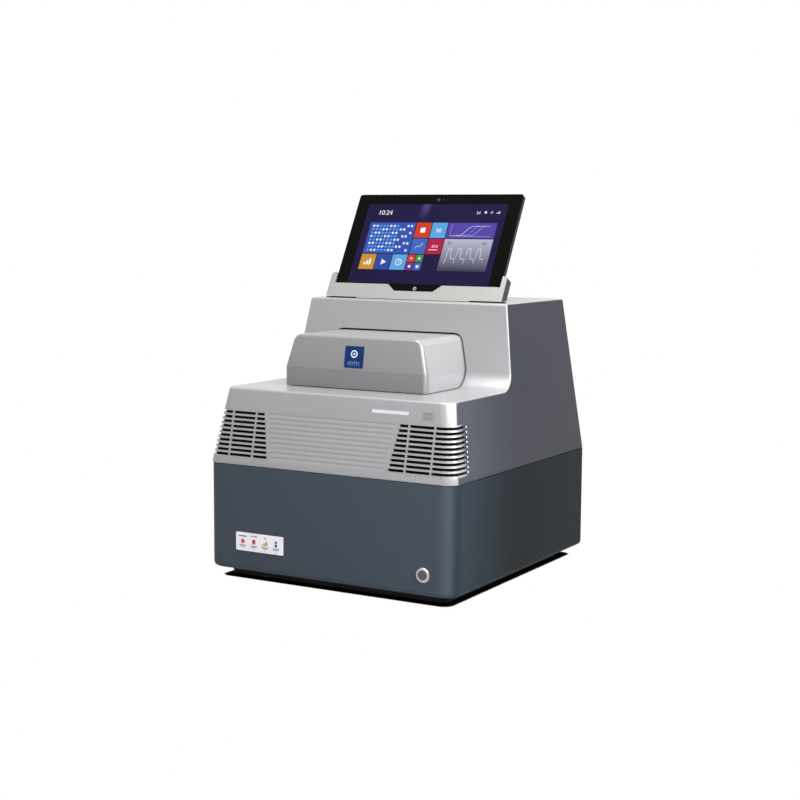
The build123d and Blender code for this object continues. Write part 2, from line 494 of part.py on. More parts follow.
def make_inlet():
    """The power inlet with its contacts and rocker switch, and the data sockets."""
    face = BACK + PROUD
    socket_z = INLET_Z - SOCKET_DROP
    body = inlet_block(0, BACK, face)
    body = fillet(body.edges().filter_by(Axis.Y), INLET_CORNER)
    body += inlet_block(INLET_LIP + GRILLE_GAP, BACK - INLET_DEPTH, BACK)
    body -= block(INLET_X - SOCKET_WIDTH / 2, INLET_X + SOCKET_WIDTH / 2, face - SOCKET_DEPTH, face + 1,
                  socket_z - SOCKET_HEIGHT / 2, socket_z + SOCKET_HEIGHT / 2)
    pivot_y, pivot_z = BACK - ROCKER_PIVOT, INLET_Z + ROCKER_Z
    body -= block(INLET_X - ROCKER_WIDTH / 2, INLET_X + ROCKER_WIDTH / 2, pivot_y - ROCKER_DEPTH, face + 1,
                  pivot_z - ROCKER_HEIGHT / 2, pivot_z + ROCKER_HEIGHT / 2)
    reach = ROCKER_WIDTH / 2 + ROCKER_TRUNNION
    body -= rod_x(INLET_X - reach, INLET_X + reach, pivot_y, pivot_z, ROCKER_TRUNNION + RUN_CLEAR)
    save("power_inlet", body)

    bottom = face - SOCKET_DEPTH
    pins = [block(INLET_X + x - PIN_HALF_WIDTH, INLET_X + x + PIN_HALF_WIDTH, bottom, bottom + PIN_LENGTH,
                  socket_z + z - PIN_HALF_HEIGHT, socket_z + z + PIN_HALF_HEIGHT) for x, z in PIN_PLACES]
    save("inlet_pins", Part() + pins)

    tip = ROCKER_HEIGHT / 2 - ROCKER_CLEAR
    wheel = rod_x(ROCKER_CLEAR - ROCKER_WIDTH / 2, ROCKER_WIDTH / 2 - ROCKER_CLEAR, 0, 0, tip)
    far = 2 * tip
    dish = make_face(Polyline((0, 0), (ROCKER_DISH, tip), (far, tip), (far, -tip), (ROCKER_DISH, -tip),
                              close=True))
    rocker = wheel - extrude(Plane.YZ * dish, WIDTH, both=True)
    rocker += rod_x(ROCKER_CLEAR - reach, reach - ROCKER_CLEAR, 0, 0, ROCKER_TRUNNION)
    save("rocker_switch", Pos(INLET_X, pivot_y, pivot_z) * Rot(ROCKER_TILT, 0, 0) * rocker)

    ports = []
    for x, w, h, hole_w, hole_h in PORTS:
        z = BOARD_TOP + h / 2
        shell = block(x - w / 2, x + w / 2, BACK - PORT_LENGTH, BACK - PORT_RECESS, BOARD_TOP, BOARD_TOP + h)
        shell -= block(x - hole_w / 2, x + hole_w / 2, BACK - PORT_DEPTH, BACK,
                       z - hole_h / 2, z + hole_h / 2)
        ports.append(shell)
    save("data_ports", Part() + ports)


# Fans, modelled with their axis along Z and their back at zero
def fan_frame(size):
    bore = size / 2 - FAN_WALL
    frame = fillet(Box(size, size, FAN_THICKNESS).edges().filter_by(Axis.Z), FAN_CORNER)
    frame -= Cylinder(bore, FAN_THICKNESS)
    low = -FAN_THICKNESS / 2
    hub = Pos(0, 0, low + FAN_HUB / 2) * Cylinder(bore * HUB_SHARE, FAN_HUB)
    arm = Pos(bore / 2, 0, low + FAN_ARM / 2) * Box(bore + FAN_WALL / 2, FAN_HUB, FAN_ARM)
    arms = [Rot(0, 0, 45 + 90 * i) * arm for i in range(4)]
    corner = size / 2 - FAN_CORNER
    holes = [Pos(sx * corner, sy * corner, 0) * Cylinder(FAN_HOLE_RADIUS, FAN_THICKNESS)
             for sx in (-1, 1) for sy in (-1, 1)]
    return Pos(0, 0, FAN_THICKNESS / 2) * (frame + hub + arms - holes)


def fan_rotor(size):
    hub_radius, reach = size * HUB_SHARE / 2, size / 2 - FAN_WALL - BLADE_CLEAR
    low, high = FAN_HUB + ROTOR_CLEAR, FAN_THICKNESS - ROTOR_RECESS
    hub = Pos(0, 0, (low + high) / 2) * Cylinder(hub_radius, high - low)
    root = hub_radius - BLADE_ROOT
    blade = Box(reach - root, BLADE_THICKNESS, size * BLADE_CHORD)
    blade = Pos((reach + root) / 2, 0, (low + high) / 2) * Rot(BLADE_PITCH, 0, 0) * blade
    return hub + [Rot(0, 0, 360 * i / FAN_BLADES) * blade for i in range(FAN_BLADES)]


def make_fans():
    back = BACK - PANEL_THICKNESS - FAN_THICKNESS
    rear = Pos(REAR_FAN_X, back, REAR_FAN_Z) * Rot(-90, 0, 0)
    save("rear_fan_frame", rear * fan_frame(REAR_FAN_SIZE))
    save("rear_fan_rotor", rear * fan_rotor(REAR_FAN_SIZE))

    centre = Pos(REAR_FAN_X, BACK + GUARD_WIRE, REAR_FAN_Z) * Rot(90, 0, 0)
    rings = [Torus(radius, GUARD_WIRE) for radius in GUARD_RINGS]
    spoke = rod_x(GUARD_HUB, GUARD_REACH, 0, 0, GUARD_WIRE)
    guard = Part() + rings + [Rot(0, 0, 45 + 90 * i) * spoke for i in range(4)]
    save("fan_guard", centre * guard)

    left, right = [Pos(x, BLOCK_Y, CHASSIS_TOP) for x in SINK_FAN_X]
    save("sink_fan_frames", Part() + [left * fan_frame(FAN_SIZE), right * fan_frame(FAN_SIZE)])
    save("left_fan_rotor", left * fan_rotor(FAN_SIZE))
    save("right_fan_rotor", right * fan_rotor(FAN_SIZE))


# Inner chassis and electronics
def make_chassis():
    chassis = extrude(tub_outline(CHASSIS_TOP - SHEET, WALL + TONGUE_INSET + SHEET + 1), SHEET)
    low, high = CHASSIS_TOP - 2 * SHEET, CHASSIS_TOP + 1
    chassis -= [rod_z(x, BLOCK_Y, low, high, FAN_SIZE / 2 - FAN_WALL) for x in SINK_FAN_X]
    chassis -= plate(REAR_FAN_X, VENT_HOLE_HALF_X, BACK - VENT_HOLE_BACK, VENT_HOLE_HALF_Y, low, high)
    save("chassis_plate", chassis)

    bridge = plate(HOOD_X, BRIDGE_HALF, BRIDGE_MIDDLE, BRIDGE_REACH, BRIDGE_TOP - SHEET, BRIDGE_TOP)
    for side in (-1, 1):
        x = HOOD_X + side * BRIDGE_HALF
        bridge += block(*sorted((x, x - side * SHEET)), BRIDGE_FRONT, BRIDGE_BACK, CHASSIS_TOP, BRIDGE_TOP)
        bridge += block(*sorted((x, x + side * FLANGE_WIDTH)), BRIDGE_FRONT, BRIDGE_BACK,
                        CHASSIS_TOP, CHASSIS_TOP + SHEET)
    nut_path = (NUT_LENGTH + HOOD_TRAVEL) / 2
    bridge -= plate(HOOD_X, NUT_ARM / 2 + NUT_SLOT_CLEAR, NUT_Y + nut_path, nut_path + NUT_SLOT_END,
                    BRIDGE_TOP - 2 * SHEET, BRIDGE_TOP + 1)
    rails = [plate(HOOD_X + side * RAIL_SPREAD, RAIL_WIDTH / 2, BRIDGE_MIDDLE, BRIDGE_REACH - RAIL_INSET,
                   BRIDGE_TOP, BRIDGE_TOP + RAIL_HEIGHT) for side in (-1, 1)]
    save("hood_rails", Part() + rails)

    for y in (BEARING_Y0, BEARING_Y1):
        bridge += block(HOOD_X - NUT_HALF, HOOD_X + NUT_HALF, y, y + BEARING_LENGTH,
                        HOOD_SCREW_Z - NUT_HALF, BRIDGE_TOP - SHEET)
    bridge -= rod_y(HOOD_X, BEARING_Y0 - 1, BRIDGE_BACK, HOOD_SCREW_Z, HOOD_SCREW_RADIUS + RUN_CLEAR)
    save("rail_bridge", bridge)
    motor_y = BEARING_Y1 + BEARING_LENGTH
    half = HOOD_MOTOR_SIZE / 2
    motor = block(HOOD_X - half, HOOD_X + half, motor_y, motor_y + HOOD_MOTOR_LENGTH,
                  BRIDGE_TOP - SHEET - HOOD_MOTOR_SIZE, BRIDGE_TOP - SHEET)
    motor = chamfer(motor.edges().filter_by(Axis.Y), MOTOR_CHAMFER)
    motor -= rod_y(HOOD_X, motor_y - 1, motor_y + MOTOR_BORE, HOOD_SCREW_Z, HOOD_SCREW_RADIUS + RUN_CLEAR)
    save("hood_motor", motor)
    save("hood_screw", rod_y(HOOD_X, BEARING_Y0, motor_y + MOTOR_BORE - 1, HOOD_SCREW_Z, HOOD_SCREW_RADIUS))


def make_electronics():
    """The power supply, the two boards with their largest parts, and their standoffs."""
    floor = TUB_BOTTOM + WALL
    left, top = BAY_INSET - WIDTH / 2, floor + SUPPLY_HEIGHT
    supply = block(left, left + SUPPLY_WIDTH, SUPPLY_FRONT, SUPPLY_FRONT + SUPPLY_LENGTH, floor, top)
    first = left + (SUPPLY_WIDTH - SUPPLY_SLOT_PITCH * (SUPPLY_SLOT_COUNT - 1) - SUPPLY_SLOT) / 2
    for i in range(SUPPLY_SLOT_COUNT):
        x = first + SUPPLY_SLOT_PITCH * i
        supply -= block(x, x + SUPPLY_SLOT, SUPPLY_FRONT + SUPPLY_SLOT_END,
                        SUPPLY_FRONT + SUPPLY_LENGTH - SUPPLY_SLOT_END, top - SUPPLY_SLOT_DEPTH, top + 1)
    save("power_supply", supply)

    right, driver_back = WIDTH / 2 - BAY_INSET, DRIVER_FRONT + DRIVER_LENGTH
    driver = block(DRIVER_LEFT, right, DRIVER_FRONT, driver_back, BOARD_BOTTOM, BOARD_TOP)
    part_y = DRIVER_FRONT + PART_FRONT
    for i in range(DRIVER_PARTS):
        x = DRIVER_PART_X + DRIVER_PART_PITCH * i
        driver += block(x, x + PART_WIDTH, part_y, part_y + PART_LENGTH, BOARD_TOP, BOARD_TOP + PART_HEIGHT)
        driver += rod_z(x + PART_WIDTH / 2, DRIVER_FRONT + CAPACITOR_SETBACK, BOARD_TOP,
                        BOARD_TOP + CAPACITOR_HEIGHT, CAPACITOR_RADIUS)
    save("driver_board", driver)

    main_front = BRIDGE_BACK - MAIN_LENGTH
    board = block(MAIN_LEFT, right, main_front, BRIDGE_BACK, BOARD_BOTTOM, BOARD_TOP)
    for x, setback, height in ((CHIP_X, CHIP_SETBACK, CHIP_HEIGHT),
                               (COOLED_X, COOLED_SETBACK, COOLED_HEIGHT)):
        y = main_front + setback
        board += block(x, x + CHIP_SIZE, y, y + CHIP_SIZE, BOARD_TOP, BOARD_TOP + height)
    save("main_board", board)

    corners = [(x, y) for x in (DRIVER_LEFT + STANDOFF_INSET, right - STANDOFF_INSET)
               for y in (DRIVER_FRONT + STANDOFF_INSET, driver_back - STANDOFF_INSET)]
    corners += [(x, y) for x in (MAIN_LEFT + STANDOFF_INSET, right - STANDOFF_INSET)
                for y in (main_front + STANDOFF_INSET, BRIDGE_BACK - STANDOFF_INSET)]
    save("standoffs", Part() + [rod_z(x, y, floor, BOARD_BOTTOM, STANDOFF_RADIUS) for x, y in corners])


# Thermal block and its cooling
def make_block():
    body = plate(HOOD_X, BLOCK_LENGTH / 2, BLOCK_Y, BLOCK_WIDTH / 2, BLOCK_TOP - BLOCK_THICKNESS, BLOCK_TOP)
    well = Pos(0, 0, BLOCK_TOP - WELL_DEPTH / 2) * Cone(WELL_END_RADIUS, WELL_TOP_RADIUS, WELL_DEPTH)
    save("sample_block", body - [Pos(x, y, 0) * well for x, y in well_places()])

    pitch = COOLER_SIZE + COOLER_GAP
    coolers = [plate(HOOD_X + pitch * i, COOLER_SIZE / 2, BLOCK_Y + pitch * (j - 0.5), COOLER_SIZE / 2,
                     SINK_TOP, SINK_TOP + COOLER_THICKNESS) for i in (-1, 0, 1) for j in (0, 1)]
    save("thermal_modules", Part() + coolers)

    inner_x, inner_y = BLOCK_LENGTH / 2 + NEST_GAP, BLOCK_WIDTH / 2 + NEST_GAP
    nest = plate(HOOD_X, inner_x + NEST_WALL, BLOCK_Y, inner_y + NEST_WALL, SINK_TOP, DECK_HEIGHT)
    nest += plate(HOOD_X, NEST_HALF_X, BLOCK_Y, NEST_HALF_Y, DECK_HEIGHT - 2 * WALL, DECK_HEIGHT)
    nest -= plate(HOOD_X, inner_x, BLOCK_Y, inner_y, SINK_TOP - 1, DECK_HEIGHT + 1)
    save("block_nest", nest)

    half_x, half_y = inner_x + NEST_WALL + SINK_MARGIN, inner_y + NEST_WALL + SINK_MARGIN
    sink = plate(HOOD_X, half_x, BLOCK_Y, half_y, SINK_TOP - SINK_BASE, SINK_TOP)
    fin_span = half_x - 2 * SUPPORT_SHEET
    fin_low = CHASSIS_TOP + FAN_THICKNESS + FAN_GAP / 2
    for i in range(SINK_FIN_COUNT):
        x = HOOD_X + fin_span * (2 * i / (SINK_FIN_COUNT - 1) - 1)
        sink += plate(x, SINK_FIN / 2, BLOCK_Y, half_y - SINK_FIN_INSET, fin_low, SINK_TOP - SINK_BASE)
    save("heat_sink", sink)

    support = Part()
    for side in (-1, 1):
        x = HOOD_X + side * half_x
        support += block(*sorted((x, x - side * SUPPORT_SHEET)), BLOCK_Y - half_y, BLOCK_Y + half_y,
                         CHASSIS_TOP, SINK_TOP - SINK_BASE)
        support += block(*sorted((x, x + side * FLANGE_WIDTH)), BLOCK_Y - half_y, BLOCK_Y + half_y,
                         CHASSIS_TOP, CHASSIS_TOP + SUPPORT_SHEET)
    save("block_supports", support)


def well_places():
    return [(HOOD_X + WELL_PITCH * (i - (WELL_COLUMNS - 1) / 2),
             BLOCK_Y + WELL_PITCH * (j - (WELL_ROWS - 1) / 2))
            for i in range(WELL_COLUMNS) for j in range(WELL_ROWS)]


# Hood
def hood_section(inset, bottom, y0, y1):
    """The hood's outline seen from the front, run straight back."""
    half = HOOD_HALF - inset
    top, crease = HOOD_TOP - inset, HOOD_CREASE
    crown = half - HOOD_SIDE_LEAN * (top - crease)
    face = make_face(Polyline((-half, bottom), (half, bottom), (half, crease), (crown, top),
                              (-crown, top), (-half, crease), close=True))
    crowns = face.vertices().sort_by(Axis.Y)[-2:]
    face = fillet(crowns, HOOD_CROWN - inset)
    run = extrude(Plane.XZ * face, y1 - y0)
    return Pos(HOOD_X, y1, 0) * run


def hood_body(inset, bottom, back):
    """The hood as a solid: a leaning front with a rounded edge, on an upright band of the same outline."""
    front, top = HOOD_FRONT + inset, HOOD_TOP - inset
    crown_y = front + HOOD_FRONT_LEAN * (top - HOOD_CREASE)
    profile = Polyline((front, HOOD_CREASE), (crown_y, top), (back, top), (back, HOOD_CREASE), close=True)
    body = hood_section(inset, bottom, front, back) & extrude(Plane.YZ * make_face(profile), WIDTH, both=True)
    nose = [edge for edge in body.edges()
            if edge.center().Z > HOOD_CREASE + 1 and edge.bounding_box().max.Y < crown_y + 1]
    body = fillet(nose, HOOD_NOSE - inset / 2)
    sole = body.faces().sort_by(Axis.Z)[0]
    return body + extrude(sole, HOOD_CREASE - bottom)


def make_hood():
    shell = hood_body(0, HOOD_BOTTOM, HOOD_BACK) - hood_body(HOOD_WALL, HOOD_BOTTOM - 1, HOOD_BACK + 1)
    for side in (-1, 1):
        near, far = HOOD_X + side * (CARRIAGE_HALF - TAB_OVERLAP), HOOD_X + side * (HOOD_HALF - HOOD_WALL / 2)
        for y0, y1 in SIDE_TABS:
            shell += block(*sorted((near, far)), y0, y1, ARM_TOP, ARM_TOP + TAB_THICKNESS)
        shell += block(*sorted(HOOD_X + side * x for x in FRONT_TAB), HOOD_FRONT + HOOD_WALL / 2,
                       ARM_FRONT + TAB_OVERLAP, ARM_TOP, ARM_TOP + TAB_THICKNESS)
    save("hood_shell", shell)

    lean = math.atan(HOOD_FRONT_LEAN)
    y = HOOD_FRONT + HOOD_FRONT_LEAN * (BADGE_Z - HOOD_CREASE)
    face = Plane(origin=(BADGE_X, y, BADGE_Z), x_dir=(1, 0, 0), z_dir=(0, -math.cos(lean), math.sin(lean)))
    badge = Pos(0, 0, BADGE_THICKNESS / 2) * Box(BADGE_SIZE, BADGE_SIZE, BADGE_THICKNESS)
    save("hood_badge", face * badge)

    inset_half = CARRIAGE_HALF - CARRIAGE_INSET
    carriage = block(HOOD_X - inset_half, HOOD_X + inset_half, ARM_BACK, CARRIAGE_BACK,
                     CARRIAGE_BOTTOM, ARM_TOP)
    end_top = SCAN_SCREW_Z + END_RISE
    for side in (-1, 1):
        outer, inner = HOOD_X + side * CARRIAGE_HALF, HOOD_X + side * (CARRIAGE_HALF - ARM_WIDTH)
        carriage += block(*sorted((inner, outer)), ARM_FRONT, ARM_BACK, CARRIAGE_BOTTOM, ARM_TOP)
        carriage += block(*sorted((outer, outer - side * ARM_THICKNESS)),
                          BLOCK_Y - END_HALF, BLOCK_Y + END_HALF,
                          ARM_TOP, end_top)
        for sy in (-1, 1):
            x, y = HOOD_X + side * POST_X, BLOCK_Y + sy * POST_Y
            carriage += rod_z(x, y, ARM_TOP - 1, POST_TOP, POST_RADIUS)
            carriage += rod_z(x, y, POST_TOP - POST_CAP, POST_TOP, 2 * POST_RADIUS)
    far = HOOD_X + CARRIAGE_HALF
    near = HOOD_X - CARRIAGE_HALF
    for sy in (-1, 1):
        carriage -= rod_x(near - 1, far + 1, BLOCK_Y + sy * SCAN_ROD_Y, SCAN_ROD_Z,
                          SCAN_ROD_RADIUS + RUN_CLEAR / 2)
    carriage -= rod_x(near - 1, near + 2 * ARM_THICKNESS, BLOCK_Y, SCAN_SCREW_Z,
                      SCAN_SCREW_RADIUS + RUN_CLEAR)
    nut = plate(HOOD_X, NUT_HALF, NUT_Y + NUT_LENGTH / 2, NUT_LENGTH / 2, HOOD_SCREW_Z - NUT_HALF,
                HOOD_SCREW_Z + NUT_HALF)
    nut += plate(HOOD_X, NUT_ARM / 2, NUT_Y + NUT_LENGTH / 2, NUT_LENGTH / 2 - 2,
                 HOOD_SCREW_Z, CARRIAGE_BOTTOM)
    nut -= rod_y(HOOD_X, NUT_Y - 1, NUT_Y + NUT_LENGTH + 1, HOOD_SCREW_Z, HOOD_SCREW_RADIUS + SCREW_CLEAR)
    save("hood_carriage", carriage + nut)

    runners = []
    for side in (-1, 1):
        x = HOOD_X + side * RAIL_SPREAD
        for y in RUNNER_Y:
            runner = block(x - RUNNER_WIDTH / 2, x + RUNNER_WIDTH / 2, y, y + RUNNER_LENGTH,
                           BRIDGE_TOP + RUNNER_LIFT, CARRIAGE_BOTTOM)
            channel = RAIL_WIDTH / 2 + RUNNER_CLEAR
            runners.append(runner - block(x - channel, x + channel, y - 1, y + RUNNER_LENGTH + 1,
                                          BRIDGE_TOP, BRIDGE_TOP + RAIL_HEIGHT + RUNNER_CLEAR))
    save("hood_runners", Part() + runners)


def make_lid():
    """The heated pressure plate on its sprung posts."""
    lid = plate(HOOD_X, LID_HALF_X, BLOCK_Y, LID_HALF_Y, LID_BOTTOM, LID_TOP)
    ear_bottom = LID_TOP - LID_EAR_THICKNESS
    for sx in (-1, 1):
        for sy in (-1, 1):
            x0, x1 = sorted((HOOD_X + sx * (LID_HALF_X - 1), HOOD_X + sx * (POST_X + LID_EAR_REACH)))
            y = BLOCK_Y + sy * POST_Y
            lid += block(x0, x1, y - LID_EAR_HALF, y + LID_EAR_HALF, ear_bottom, LID_TOP)
            lid -= rod_z(HOOD_X + sx * POST_X, y, LID_BOTTOM, LID_TOP + 1, POST_RADIUS + RUN_CLEAR)
    holes = [rod_z(x, y, LID_BOTTOM - 1, LID_TOP + LID_HEATER + 1, LID_HOLE_RADIUS) for x, y in well_places()]
    save("hot_lid", lid - holes)
    heater = plate(HOOD_X, LID_HALF_X - LID_HEATER_INSET, BLOCK_Y, LID_HALF_Y - LID_HEATER_INSET,
                   LID_TOP, LID_TOP + LID_HEATER)
    save("lid_heater", heater - holes)

    height = POST_TOP - POST_CAP - LID_TOP - SPRING_WIRE - 2 * SPRING_CLEAR
    path = Helix(pitch=height / SPRING_TURNS, height=height, radius=SPRING_RADIUS)
    coil = sweep(Plane(path @ 0, z_dir=path % 0) * Circle(SPRING_WIRE / 2), path)
    base = LID_TOP + SPRING_WIRE / 2 + SPRING_CLEAR
    springs = [Pos(HOOD_X + sx * POST_X, BLOCK_Y + sy * POST_Y, base) * coil
               for sx in (-1, 1) for sy in (-1, 1)]
    save("lid_springs", Part() + springs)


def make_optics():
    """The scanning head with its lenses, two rods, a screw and a motor."""
    rods = [rod_x(HOOD_X - CARRIAGE_HALF, HOOD_X + CARRIAGE_HALF, BLOCK_Y + sy * SCAN_ROD_Y,
                  SCAN_ROD_Z, SCAN_ROD_RADIUS)
            for sy in (-1, 1)]
    save("scan_rods", Part() + rods)
    head_x = HOOD_X - SCAN_TRAVEL / 2
    head = plate(head_x, SCAN_HEAD_WIDTH / 2, BLOCK_Y, SCAN_HEAD_LENGTH / 2, SCAN_HEAD_BOTTOM, SCAN_HEAD_TOP)
    head = chamfer(head.edges().group_by(Axis.Z)[-1], SCAN_HEAD_CHAMFER)
    x0, x1 = head_x - SCAN_HEAD_WIDTH, head_x + SCAN_HEAD_WIDTH
    for sy in (-1, 1):
        head -= rod_x(x0, x1, BLOCK_Y + sy * SCAN_ROD_Y, SCAN_ROD_Z, SCAN_ROD_RADIUS + RUN_CLEAR)
    head -= rod_x(x0, x1, BLOCK_Y, SCAN_SCREW_Z, SCAN_SCREW_RADIUS + SCREW_CLEAR)
    save("scan_head", head)
    lenses = [rod_z(head_x, BLOCK_Y + WELL_PITCH * (j - (WELL_ROWS - 1) / 2), SCAN_HEAD_BOTTOM - LENS_HEIGHT,
                    SCAN_HEAD_BOTTOM, LENS_RADIUS) for j in range(WELL_ROWS)]
    save("scan_lenses", Part() + lenses)

    half = SCAN_MOTOR_SIZE / 2
    motor_x1 = HOOD_X + CARRIAGE_HALF - ARM_THICKNESS
    motor_x0 = motor_x1 - SCAN_MOTOR_SIZE
    motor = block(motor_x0, motor_x1, BLOCK_Y - half, BLOCK_Y + half,
                  SCAN_SCREW_Z - half, SCAN_SCREW_Z + half)
    motor = chamfer(motor.edges().filter_by(Axis.X), MOTOR_CHAMFER)
    motor -= rod_x(motor_x0 - 1, motor_x0 + MOTOR_BORE, BLOCK_Y, SCAN_SCREW_Z, SCAN_SCREW_RADIUS + RUN_CLEAR)
    save("scan_motor", motor)
    save("scan_screw", rod_x(HOOD_X - CARRIAGE_HALF + 0.5, motor_x0 + MOTOR_BORE - 1, BLOCK_Y, SCAN_SCREW_Z,
                             SCAN_SCREW_RADIUS))


# Power button
def make_button():
    """The button's ring with its threaded barrel and nut, its cap, and the switch behind it."""
    barrel = BUTTON_BODY_RADIUS - RUN_CLEAR
    back = FRONT + BUTTON_BARREL
    bezel = rod_y(BUTTON_X, FRONT - PROUD, FRONT, BUTTON_Z, BUTTON_RADIUS)
    bezel = chamfer(bezel.faces().sort_by(Axis.Y)[0].edges(), PROUD / 2)
    bezel += rod_y(BUTTON_X, FRONT, back, BUTTON_Z, barrel)
    bezel -= rod_y(BUTTON_X, FRONT - 2 * PROUD, back + 1, BUTTON_Z, BUTTON_CAP_RADIUS + RUN_CLEAR)
    nut = extrude(Plane.XZ * RegularPolygon(BUTTON_BODY_RADIUS + BUTTON_NUT_WALL, 6), BUTTON_NUT_THICKNESS)
    nut = Pos(BUTTON_X, FRONT + WALL + BUTTON_NUT_THICKNESS, BUTTON_Z) * nut
    nut -= rod_y(BUTTON_X, FRONT, back, BUTTON_Z, BUTTON_BODY_RADIUS)
    save("button_bezel", Part() + [bezel, nut])

    cap_back = back - 2 * BUTTON_TRAVEL
    save("power_button", rod_y(BUTTON_X, FRONT - PROUD * 3 / 4, cap_back, BUTTON_Z, BUTTON_CAP_RADIUS))
    switch = rod_y(BUTTON_X, back, FRONT + BUTTON_BODY_LENGTH, BUTTON_Z, barrel)
    for side in (-1, 1):
        x = BUTTON_X + side * TERMINAL_SPREAD
        switch += block(x - TERMINAL_WIDTH / 2, x + TERMINAL_WIDTH / 2, back, back + TERMINAL_LENGTH,
                        BUTTON_Z - TERMINAL_THICKNESS / 2, BUTTON_Z + TERMINAL_THICKNESS / 2)
    save("button_switch", switch)


# Tablet and dock, in the tablet's own plane: t runs down from its top, w runs back from its glass
TABLET_PLANE = Plane(origin=(0, TABLET_TOP_Y, TABLET_TOP_Z), x_dir=(1, 0, 0),
                     z_dir=(0, -math.cos(TILT), math.sin(TILT)))
HINGE_T = (TABLET_TOP_Z - HINGE_Z - HINGE_DEPTH * math.sin(TILT)) / math.cos(TILT)
HINGE_Y = TABLET_TOP_Y - HINGE_T * math.sin(TILT) + HINGE_DEPTH * math.cos(TILT)


def slab(x0, x1, t0, t1, w0, w1):
    return TABLET_PLANE * block(x0, x1, -t1, -t0, -w1, -w0)


def make_dock():
    half, bottom = DOCK_WIDTH / 2, TABLET_HEIGHT + DOCK_TAIL
    pocket_half, floor = TABLET_WIDTH / 2 + DOCK_GAP, TABLET_HEIGHT + DOCK_GAP
    back = TABLET_THICKNESS + DOCK_GAP
    tray = block(-half, half, -bottom, -EAR_TOP, -DOCK_BACK_DEPTH, DOCK_GAP + DOCK_WALL)
    ears = [e for e in tray.edges() if e.center().Y > -EAR_TOP - 1 and abs(e.center().X) > half - 1]
    tray = TABLET_PLANE * chamfer(ears, EAR_CHAMFER)
    tray -= slab(-pocket_half, pocket_half, 0, floor, -DOCK_GAP, back)
    reach = 2 * (DOCK_GAP + DOCK_WALL)
    tray -= slab(-pocket_half, pocket_half, 0, LIP_TOP, -reach, 0)
    notch = make_face(Polyline((-NOTCH_HALF, -LIP_TOP + 1), (NOTCH_HALF, -LIP_TOP + 1),
                               (NOTCH_END_HALF, -NOTCH_BOTTOM), (-NOTCH_END_HALF, -NOTCH_BOTTOM), close=True))
    tray -= TABLET_PLANE * extrude(notch, reach)
    tray -= block(-WIDTH, WIDTH, FRONT, BACK, 0, ROOF_HEIGHT + DOCK_CLEAR)
    for side in (-1, 1):
        tray -= block(*sorted((side * DOCK_MIDDLE, side * WIDTH)), FRONT, BACK,
                      0, ROOF_HEIGHT + DOCK_END_CLEAR)
    for side in (-1, 1):
        for offset in (-1, 1):
            x = side * KNUCKLE_X + offset * (KNUCKLE_WIDTH / 2 + DOCK_GAP + DOCK_KNUCKLE_WIDTH / 2)
            x0, x1 = x - DOCK_KNUCKLE_WIDTH / 2, x + DOCK_KNUCKLE_WIDTH / 2
            tray += slab(x0, x1, HINGE_T - KNUCKLE_RADIUS, HINGE_T + KNUCKLE_RADIUS,
                         DOCK_BACK_DEPTH - 1, HINGE_DEPTH)
            tray += rod_x(x0, x1, HINGE_Y, HINGE_Z, KNUCKLE_RADIUS)
    tray -= rod_x(-half, half, HINGE_Y, HINGE_Z, HINGE_PIN_RADIUS)
    save("dock_tray", tray)

    reach = KNUCKLE_WIDTH / 2 + DOCK_GAP + DOCK_KNUCKLE_WIDTH
    pins = [rod_x(side * KNUCKLE_X - reach, side * KNUCKLE_X + reach, HINGE_Y, HINGE_Z, HINGE_PIN_RADIUS)
            for side in (-1, 1)]
    save("hinge_pins", Part() + pins)
    brackets = []
    for side in (-1, 1):
        x0, x1 = side * KNUCKLE_X - KNUCKLE_WIDTH / 2, side * KNUCKLE_X + KNUCKLE_WIDTH / 2
        bracket = rod_x(x0, x1, HINGE_Y, HINGE_Z, KNUCKLE_RADIUS)
        bracket += block(x0, x1, HINGE_Y - BRACKET_HALF, HINGE_Y + BRACKET_HALF, ROOF_HEIGHT, HINGE_Z)
        bracket += block(x0, x1, HINGE_Y - BRACKET_FRONT, HINGE_Y + BRACKET_BACK, ROOF_HEIGHT,
                         ROOF_HEIGHT + BRACKET_FOOT)
        brackets.append(bracket - rod_x(x0 - 1, x1 + 1, HINGE_Y, HINGE_Z, HINGE_PIN_RADIUS + RUN_CLEAR))
    save("dock_brackets", Part() + brackets)

    rest = block(-BACK_PLATE_HALF, BACK_PLATE_HALF, -EAR_TOP, -BACK_PLATE_TOP, -DOCK_BACK_DEPTH, -back)
    rest = TABLET_PLANE * fillet(rest.edges().filter_by(Axis.Z).sort_by(Axis.Y)[-2:], BACK_PLATE_CORNER)
    for side in (-1, 1):
        rest += slab(*sorted(side * x for x in STRAP_X), EAR_TOP - STRAP_RISE, EAR_TOP + STRAP_DROP,
                     DOCK_BACK_DEPTH, DOCK_BACK_DEPTH + STRAP_THICKNESS)
    save("dock_back", rest)
    plug = slab(-PLUG_HALF, PLUG_HALF, TABLET_HEIGHT - PLUG_RISE, floor, PLUG_FRONT, PLUG_BACK)
    save("dock_connector", plug)


